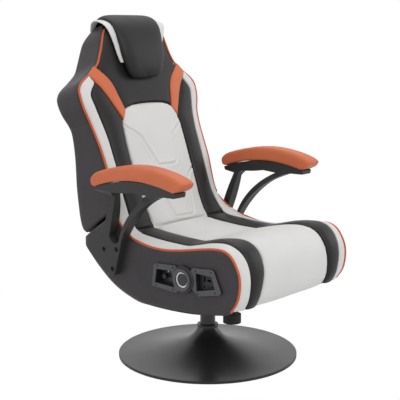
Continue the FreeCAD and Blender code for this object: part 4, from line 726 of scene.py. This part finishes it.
def seat_side(side, name, count=190):
    """The vinyl-covered side: a grid between the lower and the upper outline, padded outwards.

    Its face swells by SIDE_SWELL and by SIDE_PADDING, each times (1 - u^24)^(1/2)
    (1 - w^14)^(1/2). There is no padding round the control panel, where the face is flat and
    falls back behind the trays and the dial. The rear corner leans in towards the back.
    """
    lower, upper = seat_side_outlines(count)
    v = (1 - np.cos(np.linspace(0, np.pi, 64))) / 2
    y = lower[:, None, 0] + (upper - lower)[:, None, 0] * v[None, :]
    z = lower[:, None, 1] + (upper - lower)[:, None, 1] * v[None, :]
    u = np.linspace(-1, 1, count)[:, None]
    w = (v * 2 - 1)[None, :]
    edge = np.sqrt((1 - np.abs(u) ** 24).clip(0)) * np.sqrt((1 - np.abs(w) ** 14).clip(0))
    padding = SIDE_PADDING * (1 - near_zone(y, z) if side < 0 else 1.0)
    lean = np.clip((z - 404) / 96, 0, 1) * SIDE_LEAN * np.clip((y - 60) / 40, 0, 1)
    out = SEAT_HALF - SIDE_SWELL - lean + (SIDE_SWELL + padding) * edge
    back = np.minimum(SEAT_HALF - SIDE_THICK, out - 0.002)
    if side < 0:
        out = np.where(near_zone(y, z) > 0.9, np.minimum(out, SEAT_HALF - 0.0004), out)
        hub_y, hub_z, hub_radius = DIAL_HUB
        holes = [inside(corners, y, z) for corners in PANEL_HOLES]
        holes.append(np.hypot(y - hub_y, z - hub_z) < hub_radius)
        for hole in holes:
            out = np.where(hole, SEAT_HALF - HOLE_DEPTH, out)
            back = np.where(hole, SEAT_HALF - HOLE_DEPTH - 0.002, back)
    front = np.stack([out * side, y * MM, z * MM], axis=-1)
    rear = np.stack([back * side, y * MM, z * MM], axis=-1)
    grid = np.concatenate([front, rear[:, ::-1]], axis=1)
    ends = [np.broadcast_to(row.mean(axis=0), (1, *row.shape)) for row in (grid[0], grid[-1])]
    form = skin("Side_form", np.concatenate([ends[0], grid, ends[1]]))
    welt = smooth_line([(SEAT_HALF / MM - 4, y, z) for y, z in SEAT_LOWER], 160) * MM * [side, 1, 1]
    piece = joined("Seat_side_" + name, [form, tube("Welt", welt, WELT_RADIUS)])
    finish(piece, "seat", "side", ["seat_side_" + name])


class CHAIR_OT_seat_sides(bpy.types.Operator):
    """Make the two vinyl-covered sides of the seat"""

    bl_idname = "chair.seat_sides"
    bl_label = "Seat sides"

    def execute(self, context):
        for side, name in SIDES:
            seat_side(side, name)
        return {"FINISHED"}


# Back

def back_base(low, high, up):
    """A base function across the back, which follows the front surface."""
    def base(a):
        share = ((a + 1) / 2)[None, :]
        x = low[:, None] + (high - low)[:, None] * share
        ups = np.broadcast_to(up[:, None], x.shape)
        depth = back_front(x.ravel(), ups.ravel()).reshape(x.shape)
        return on_back(x, depth, ups)
    return base


def press(piece, seams, depth):
    """Presses seams into the back cushion's front, with a low swelling 8 mm beside each."""
    places = read_points(piece)
    x, deep, up = to_back(places)
    nearest = np.full(len(x), 1e3)
    for seam in seams:
        line = smooth_line(seam, 160)
        for (x0, u0), (x1, u1) in zip(line[:-1], line[1:]):
            along = np.array([x1 - x0, u1 - u0])
            t = np.clip(((x - x0) * along[0] + (up - u0) * along[1]) / (along @ along), 0, 1)
            nearest = np.minimum(nearest, np.hypot(x - x0 - t * along[0], up - u0 - t * along[1]))
    front = deep < back_front(x, up) + 4
    sink = depth * (np.exp(-(nearest / 2.6) ** 2) - 0.3 * np.exp(-((nearest - 8) / 5) ** 2))
    places -= out_of_back(len(x)) * (sink * front)[:, None]
    write_points(piece, places)


def draw_in(piece, start, end, depth):
    """Draws a side panel in along a seam between two (y, z): depth exp(-(distance / 3 mm)^2)."""
    places = read_points(piece)
    start, along = np.array(start), np.array(end) - np.array(start)
    off = places[:, 1:] - start
    share = np.clip(off @ along / (along @ along), 0, 1)
    distance = np.linalg.norm(off - share[:, None] * along, axis=1)
    places[:, 0] -= np.sign(places[:, 0]) * depth * np.exp(-(distance / 0.003) ** 2)
    write_points(piece, places)


def back_cushion(size):
    up = 1 + 398.8 * np.sin(np.linspace(0, 1, 90) * np.pi / 2)
    half = through(BACK_PAD_HALF, up) - SEAM_GAP
    half[-1] = 0.01
    cushion = pillow("Back_cushion", back_base(-half, half, up), out_of_back(len(up)),
                     size.back_crown, deep=0.024, ends=0.011)
    rim = np.concatenate([on_back(side * half, back_front(half, up), up) for side, _ in SIDES])
    puff(cushion, rim, voxel=0.0058, cap=0.004)
    press(cushion, PRESSED_SEAMS, size.press_depth)
    finish(cushion, "back", "white", ["back_cushion"])


def back_upper_panel(top=648):
    up = np.linspace(384, top, 80)
    half = through(UPPER_HALF, up) - SEAM_GAP

    def base(a):
        """The panel's lower edge follows the arch over the cushion."""
        x = half[:, None] * a[None, :]
        arch = np.interp(np.abs(x), *zip(*CUSHION_ARCH))
        share = np.clip((up[:, None] - up[0]) / (top - up[0]), 0, 1)
        ups = arch + (top - arch) * share
        return on_back(x, back_front(x.ravel(), ups.ravel()).reshape(x.shape), ups)
    panel = pillow("Back_upper_panel", base, out_of_back(len(up)), top=0.004, deep=0.022,
                   dip=0.003, ends=0.008, shape=(7.0, 2.0))
    refine(panel)
    finish(panel, "back", "black", ["back_upper_panel"])


def back_bolster(side, name, crown):
    up = 1 + 475 * np.linspace(0, 1, 90)
    low, high = through(BACK_BOLSTER_INNER, up) + SEAM_GAP, through(BACK_SEAM_HALF, up) - SEAM_GAP
    high = np.maximum(high, low + 0.5)
    narrow = np.clip((high - low) / 60, 0.1, 1)
    bolster = pillow("Back_bolster_" + name, back_base(low * side, high * side, up),
                     out_of_back(len(up)), crown * narrow, deep=0.024, ends=0.012)
    rim = np.concatenate([on_back(half * side, back_front(half, up), up) for half in (low, high)])
    puff(bolster, rim, voxel=0.0058, cap=0.003)
    finish(bolster, "back", "black", ["back_bolster_" + name])


def back_edge(side, name):
    up = np.linspace(12, 502, 100)
    low, high = through(BACK_SEAM_HALF, up) + SEAM_GAP, through(BACK_HALF, up) - 3.6
    start = on_back(low * side, back_front(low, up), up)
    end = on_back(high * side, through(BACK_EDGE_DEPTH, up) - 0.6, up)
    band = pillow("Back_edge_" + name, between(start, end), out_of_back(len(up)), top=0.0045,
                  deep=0.012, dip=0.0022, ends=0.006)
    refine(band)
    finish(band, "back", "white", ["back_edge_" + name])


class CHAIR_OT_back_pads(bpy.types.Operator):
    """Make the back cushion, upper panel, bolsters and edge bands"""

    bl_idname = "chair.back_pads"
    bl_label = "Back pads"

    def execute(self, context):
        size = sizes()
        back_cushion(size)
        back_upper_panel()
        for side, name in SIDES:
            back_bolster(side, name, size.bolster_crown)
            back_edge(side, name)
        return {"FINISHED"}


class CHAIR_OT_straps(bpy.types.Operator):
    """Make the two orange shoulder straps"""

    bl_idname = "chair.straps"
    bl_label = "Shoulder straps"

    def execute(self, context):
        rows = along_rows(STRAP, 60)
        pair = []
        for side, _ in SIDES:
            low, high = [on_back(half * side, back_front(half, up) - STRAP_LIFT, up)
                         for half, up in (rows[:, 0:2].T, rows[:, 2:4].T)]
            strap = pillow("Strap", between(low, high), out_of_back(len(rows)), top=0.0032,
                           deep=0.010, dip=0.0022, ends=0.005, shape=(4.0, 2.0))
            refine(strap)
            pair.append(strap)
        finish(joined("Back_straps", pair), "back", "orange", ["back_straps"])
        return {"FINISHED"}


def back_side(side, name, front, rear):
    """A padded side panel between the back's front and rear edge, given as (up, depth)."""
    def base(a):
        share = ((a + 1) / 2)[None, :]
        up = front[:, None, 0] + (rear - front)[:, None, 0] * share
        deep = front[:, None, 1] + (rear - front)[:, None, 1] * share
        half = through(BACK_HALF, up.ravel()).reshape(up.shape) - 2.2
        return on_back(half * side, deep, up)
    line = base(np.array([-1.0, 0.0, 1.0]))
    normal = np.cross(line[:, 2] - line[:, 0], np.gradient(line[:, 1], axis=0))
    normal = unit(normal * np.sign(normal[:, 0:1]) * side)
    panel = pillow("Back_side_" + name, base, normal, top=0.0045, deep=0.008, dip=0.002,
                   ends=0.006, shape=(9.0, 2.0))
    refine(panel)
    draw_in(panel, *SIDE_SEAM, depth=0.0018)
    finish(panel, "back", "side", ["back_side_" + name])


def back_cover():
    """The rear cover and the sheet that turns in under the back."""
    rows = along_rows(BACK_REAR, 120)
    half = (through(BACK_HALF, rows[:, 0]) - 3)[:, None] * [MM, 0, 0]
    centre = on_back(0, rows[:, 1] - 3.0, rows[:, 0])
    normal = unit(np.cross([1.0, 0, 0], np.gradient(centre, axis=0)))
    normal *= np.sign(normal[len(rows) // 2, 1])
    cover = pillow("Back_cover", between(centre - half, centre + half), normal, top=0.006,
                   deep=0.003, dip=0.001, ends=0.006, shape=(14.0, 2.0))
    refine(cover)
    (deep, up), (deep_end, up_end), half = UNDER_BACK
    lower = on_back(0, np.linspace(deep, deep_end, 30), np.linspace(up, up_end, 30))
    fall = unit(np.cross([1.0, 0, 0], lower[-1] - lower[0]))
    fall = np.broadcast_to(-fall * np.sign(fall[2]), (30, 3))
    under = pillow("Under", between(lower - [half, 0, 0], lower + [half, 0, 0]), fall, top=0.001,
                   deep=0.001, dip=0.0, ends=0.002)
    finish(joined("Back_cover", [cover, under]), "back", "side",
           ["back_cover"])


class CHAIR_OT_back_shell(bpy.types.Operator):
    """Make the padded side panels and the rear cover of the back"""

    bl_idname = "chair.back_shell"
    bl_label = "Back shell"

    def execute(self, context):
        front = [(78, 43)] + [(up, depth + 4) for up, depth in BACK_EDGE_DEPTH if 99 < up < 640]
        front += [(650, 22), (664, 40)]
        front, rear = along_rows(front, 130), along_rows(BACK_REAR[:-1], 130)
        for side, name in SIDES:
            back_side(side, name, front, rear)
        back_cover()
        return {"FINISHED"}


class CHAIR_OT_headrest(bpy.types.Operator):
    """Make the headrest that wraps over the top, and the white wedges beside it"""

    bl_idname = "chair.headrest"
    bl_label = "Headrest"

    def execute(self, context):
        count = 110
        rows = along_rows(HEADREST, count)
        outer = on_back(0, rows[:, 1], rows[:, 0])
        inner = on_back(0, rows[:, 3], rows[:, 2])
        out = outer - inner
        thick = np.linalg.norm(out, axis=1)
        normal = out / thick[:, None]
        half = rows[:, 4] * MM
        middle = inner + out * 0.45
        low, high = middle - [1, 0, 0] * half[:, None], middle + [1, 0, 0] * half[:, None]
        rest = pillow("Headrest", between(low, high), normal, thick * 0.55 + 0.004, thick * 0.42,
                      dip=0.0, ends=0.016, shape=(5.0, 2.4))
        puff(rest, np.concatenate([low, high]), voxel=0.006, cap=0.004)
        finish(rest, "back", "black", ["headrest"])

        pair = []
        wide = np.interp(np.linspace(0, len(ACCENT_WIDTH) - 1, count), np.arange(len(ACCENT_WIDTH)),
                         ACCENT_WIDTH) * MM
        keep = slice(20, 108)
        for side, _ in SIDES:
            start = inner + out * 0.30 + [side, 0, 0] * (half[:, None] - 0.004)
            end = inner + normal * 0.0045 + [side, 0, 0] * (half[:, None] + wide[:, None] + 0.001)
            accent = pillow("Accent", between(start[keep], end[keep]), normal[keep], top=0.001,
                            deep=0.004, dip=0.0005, ends=0.004)
            refine(accent)
            pair.append(accent)
        finish(joined("Headrest_accents", pair), "back", "white",
               ["headrest_accents"])
        return {"FINISHED"}


class CHAIR_OT_arm_pads(bpy.types.Operator):
    """Make the two padded armrests"""

    bl_idname = "chair.arm_pads"
    bl_label = "Armrest pads"

    def execute(self, context):
        rows = along_rows(ARM_PAD, 90) + np.array(ARM_PLACE * 2)
        low, rise = rows[:, 0:2] * MM, (rows[:, 2:4] - rows[:, 0:2]) * MM
        middle = low + rise / 2
        tall = np.linalg.norm(rise, axis=1)
        normal = np.column_stack([0 * tall, unit(rise)])
        for side, name in SIDES:
            near, far = [np.column_stack([np.full(len(rows), x * side), middle]) for x in PAD_SPAN]
            pad = pillow("Arm_pad_" + name, between(near, far), normal, tall / 2 + 0.003,
                         tall / 2 - 0.001, dip=0.0, ends=0.0035, shape=(6.0, 4.0),
                         flat=(8.0, 5.0))
            refine(pad)
            finish(pad, "seat", "orange", ["arm_pad_" + name])
        return {"FINISHED"}


def crease_sheets():
    """The flat sheets between the cushions and between the bolsters."""
    line = np.concatenate([[(0, y * MM, z * MM) for y, z in CREASE_SEAT],
                           [on_back(0, deep, up) for up, deep in CREASE_BACK]])
    path = evenly(smoothed(line, 80), 40)
    normal = unit(np.cross(np.gradient(path, axis=0), [1.0, 0, 0]))
    normal *= np.sign(normal[0, 2])
    for name, low_x, high_x, material in (("Crease_middle", -0.126, 0.126, "white"),
                                          ("Crease_left", 0.124, 0.205, "black"),
                                          ("Crease_right", -0.205, -0.124, "black")):
        span = between(path + [low_x, 0, 0], path + [high_x, 0, 0])
        yield pillow(name, span, normal, top=0.0012, deep=0.0012, dip=0.0, ends=0.002), material


def crease_edges():
    """The strips that carry the white bands over the hinge: they rise over its pin."""
    back_up = np.array([12, 24])
    inner = smooth_line(np.concatenate([
        np.array([(203.5, 86, 409.5), (203.3, 98, 411.2), (203.3, 108, 414.5)]) * MM,
        on_back(203.3, np.array([4, 6]), back_up)]), 40)
    outer = smooth_line(np.concatenate([
        np.array([(253, 82, 405.5), (252, 98, 412), (250, 112, 420)]) * MM,
        on_back(np.array([247, 244.5]), np.array([8, 15]), back_up)]), 40)
    normal = np.cross(outer - inner, np.gradient(inner, axis=0))
    normal = unit(normal * np.sign(normal[:, 2:3]))
    rise = 0.002 + 0.0065 * np.exp(-((inner[:, 1] - PIVOT[1]) / 0.011) ** 2)
    for side, name in SIDES:
        turn = np.array([side, 1.0, 1.0])
        span = between(inner * turn, outer * turn)
        yield pillow("Crease_edge_" + name, span, normal * turn, rise, deep=0.0016, dip=0.0,
                     ends=0.002), "white"


class CHAIR_OT_crease(bpy.types.Operator):
    """Make the vinyl that joins the seat to the back across the fold"""

    bl_idname = "chair.crease"
    bl_label = "Crease vinyl"

    def execute(self, context):
        for sheet, material in (*crease_sheets(), *crease_edges()):
            sheet.data.materials.append(MATERIALS[material])
            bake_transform(sheet)
        return {"FINISHED"}


# Hard parts and stage

# The nodes that keep their CAD shape, by finish
NODES_OF = {
    "rim": ["base_edge_ring"],
    "base": ["base_trumpet"],
    "steel": ["base_socket", "base_floor_plate", "tilt_bracket", "tilt_plate", "fold_plates_seat",
              "amplifier_box", "fold_plates_back", "back_frame"],
    "column": ["neck_collar", "swivel_column"],
    "nylon": ["thrust_washer"],
    "zinc": ["tension_spring", "tilt_pin", "tension_bolt", "fold_pins"],
    "knob": ["tension_knob"],
    "ply": ["seat_frame", "seat_deck", "back_board"],
    "dust": ["seat_underside"],
    "arm": ["arm_bracket_left", "arm_bracket_right"],
    "dark": ["arm_bolts", "dial_housing", "panel_screws", "bass_knob", "treble_knob", "subwoofer"],
    "panel": ["panel_rear_bezel", "panel_front_bezel", "socket_insert"],
    "glow": ["dial_light_ring"],
    "dial": ["volume_dial"],
    "cap": ["power_button"],
    "pale": ["mode_button"],
}


class CHAIR_OT_hard_parts(bpy.types.Operator):
    """Give each carried-over hard part its finish"""

    bl_idname = "chair.hard_parts"
    bl_label = "Hard part finishes"

    def execute(self, context):
        for material, nodes in NODES_OF.items():
            for node in nodes:
                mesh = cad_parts[node].data
                mesh.materials.clear()
                mesh.materials.append(MATERIALS[material])
        return {"FINISHED"}


def softbox(name, place, aim, width, height, power):
    """A rectangular area lamp that faces a point."""
    lamp = bpy.data.lights.new(name, "AREA")
    lamp.shape = "RECTANGLE"
    lamp.size, lamp.size_y, lamp.energy = width, height, power
    light = bpy.data.objects.new(name, lamp)
    light.location = place
    light.rotation_euler = (Vector(aim) - Vector(place)).to_track_quat("-Z", "Y").to_euler()
    bpy.context.scene.collection.objects.link(light)


def bright_where_seen(tree, out, shaded, white):
    """Mixes a plain white in for camera, glossy and transmission rays."""
    path = tree.nodes.new("ShaderNodeLightPath")
    seen = path.outputs["Is Camera Ray"]
    for ray in ("Is Glossy Ray", "Is Transmission Ray"):
        either = tree.nodes.new("ShaderNodeMath")
        either.operation = "MAXIMUM"
        tree.links.new(seen, either.inputs[0])
        tree.links.new(path.outputs[ray], either.inputs[1])
        seen = either.outputs[0]
    mix = tree.nodes.new("ShaderNodeMixShader")
    tree.links.new(seen, mix.inputs[0])
    tree.links.new(shaded, mix.inputs[1])
    tree.links.new(white, mix.inputs[2])
    tree.links.new(mix.outputs[0], out.inputs["Surface"])


class CHAIR_OT_stage(bpy.types.Operator):
    """Make the floor, the studio light and the camera"""

    bl_idname = "chair.stage"
    bl_label = "Stage"

    def execute(self, context):
        scene = context.scene
        scene.view_settings.view_transform = "Standard"
        world = bpy.data.worlds.new("Studio")
        scene.world = world
        world.use_nodes = True
        tree = world.node_tree
        dim = node_of(tree, "BACKGROUND")
        dim.inputs["Color"].default_value = (1, 1, 1, 1)
        dim.inputs["Strength"].default_value = 0.36
        white = tree.nodes.new("ShaderNodeBackground")
        white.inputs["Color"].default_value = (1, 1, 1, 1)
        bright_where_seen(tree, node_of(tree, "OUTPUT_WORLD"), dim.outputs[0], white.outputs[0])

        floor = mesh_object("Floor", [(-9, -9, 0), (9, -9, 0), (9, 9, 0), (-9, 9, 0)], [(0, 1, 2, 3)])
        material = bpy.data.materials.new("Floor_white")
        material.use_nodes = True
        tree = material.node_tree
        shader = node_of(tree, "BSDF_PRINCIPLED")
        shader.inputs["Base Color"].default_value = (0.9, 0.9, 0.9, 1)
        shader.inputs["Roughness"].default_value = 0.9
        glow = tree.nodes.new("ShaderNodeEmission")
        bright_where_seen(tree, node_of(tree, "OUTPUT_MATERIAL"), shader.outputs[0],
                          glow.outputs[0])
        floor.data.materials.append(material)

        aim = (0.0, 0.0, 0.55)
        softbox("Key", (-1.6, -2.6, 2.6), aim, 2.4, 1.6, 50)
        softbox("Fill", (2.6, -1.8, 1.6), aim, 2.0, 2.0, 21)
        softbox("Top", (0.2, 0.4, 3.0), aim, 2.6, 2.6, 27)
        softbox("Rear", (-2.4, 1.6, 1.6), aim, 1.6, 2.0, 13)

        data = bpy.data.cameras.new("Camera")
        data.lens, data.sensor_width = 87.37, 36.0
        data.shift_x, data.shift_y = -0.00225, 0.0015
        camera = bpy.data.objects.new("Camera", data)
        camera.location = (-2.231, -1.947, 1.018)
        camera.rotation_euler = Euler((math.radians(79.92), 0, math.radians(-48.47)))
        scene.collection.objects.link(camera)
        scene.camera = camera
        return {"FINISHED"}


class CHAIR_PT_panel(bpy.types.Panel):
    """Chair tools"""

    bl_idname = "CHAIR_PT_panel"
    bl_label = "Chair"
    bl_space_type = "VIEW_3D"
    bl_region_type = "UI"
    bl_category = "Chair"

    def draw(self, context):
        for group in (context.scene.chair_sizes, context.scene.chair_colours):
            for key in group.__annotations__:
                self.layout.prop(group, key)
        for operator in OPERATORS:
            self.layout.operator(operator.bl_idname)


OPERATORS = (
    CHAIR_OT_stage, CHAIR_OT_hard_parts, CHAIR_OT_seat_pads, CHAIR_OT_seat_sides,
    CHAIR_OT_back_pads, CHAIR_OT_straps, CHAIR_OT_back_shell, CHAIR_OT_headrest,
    CHAIR_OT_arm_pads, CHAIR_OT_piping, CHAIR_OT_crease,
)
CLASSES = (ChairSizes, ChairColours) + OPERATORS + (CHAIR_PT_panel,)


def register():
    for kind in CLASSES:
        bpy.utils.register_class(kind)
    bpy.types.Scene.chair_sizes = PointerProperty(type=ChairSizes)
    bpy.types.Scene.chair_colours = PointerProperty(type=ChairColours)


def unregister():
    del bpy.types.Scene.chair_colours
    del bpy.types.Scene.chair_sizes
    for kind in reversed(CLASSES):
        bpy.utils.unregister_class(kind)


def main():
    """Registers the tools, makes the finishes and makes every piece."""
    register()
    MATERIALS.update(make_materials())
    for operator in OPERATORS:
        group, name = operator.bl_idname.split(".")
        getattr(getattr(bpy.ops, group), name)()


if __name__ == "__main__":
    main()
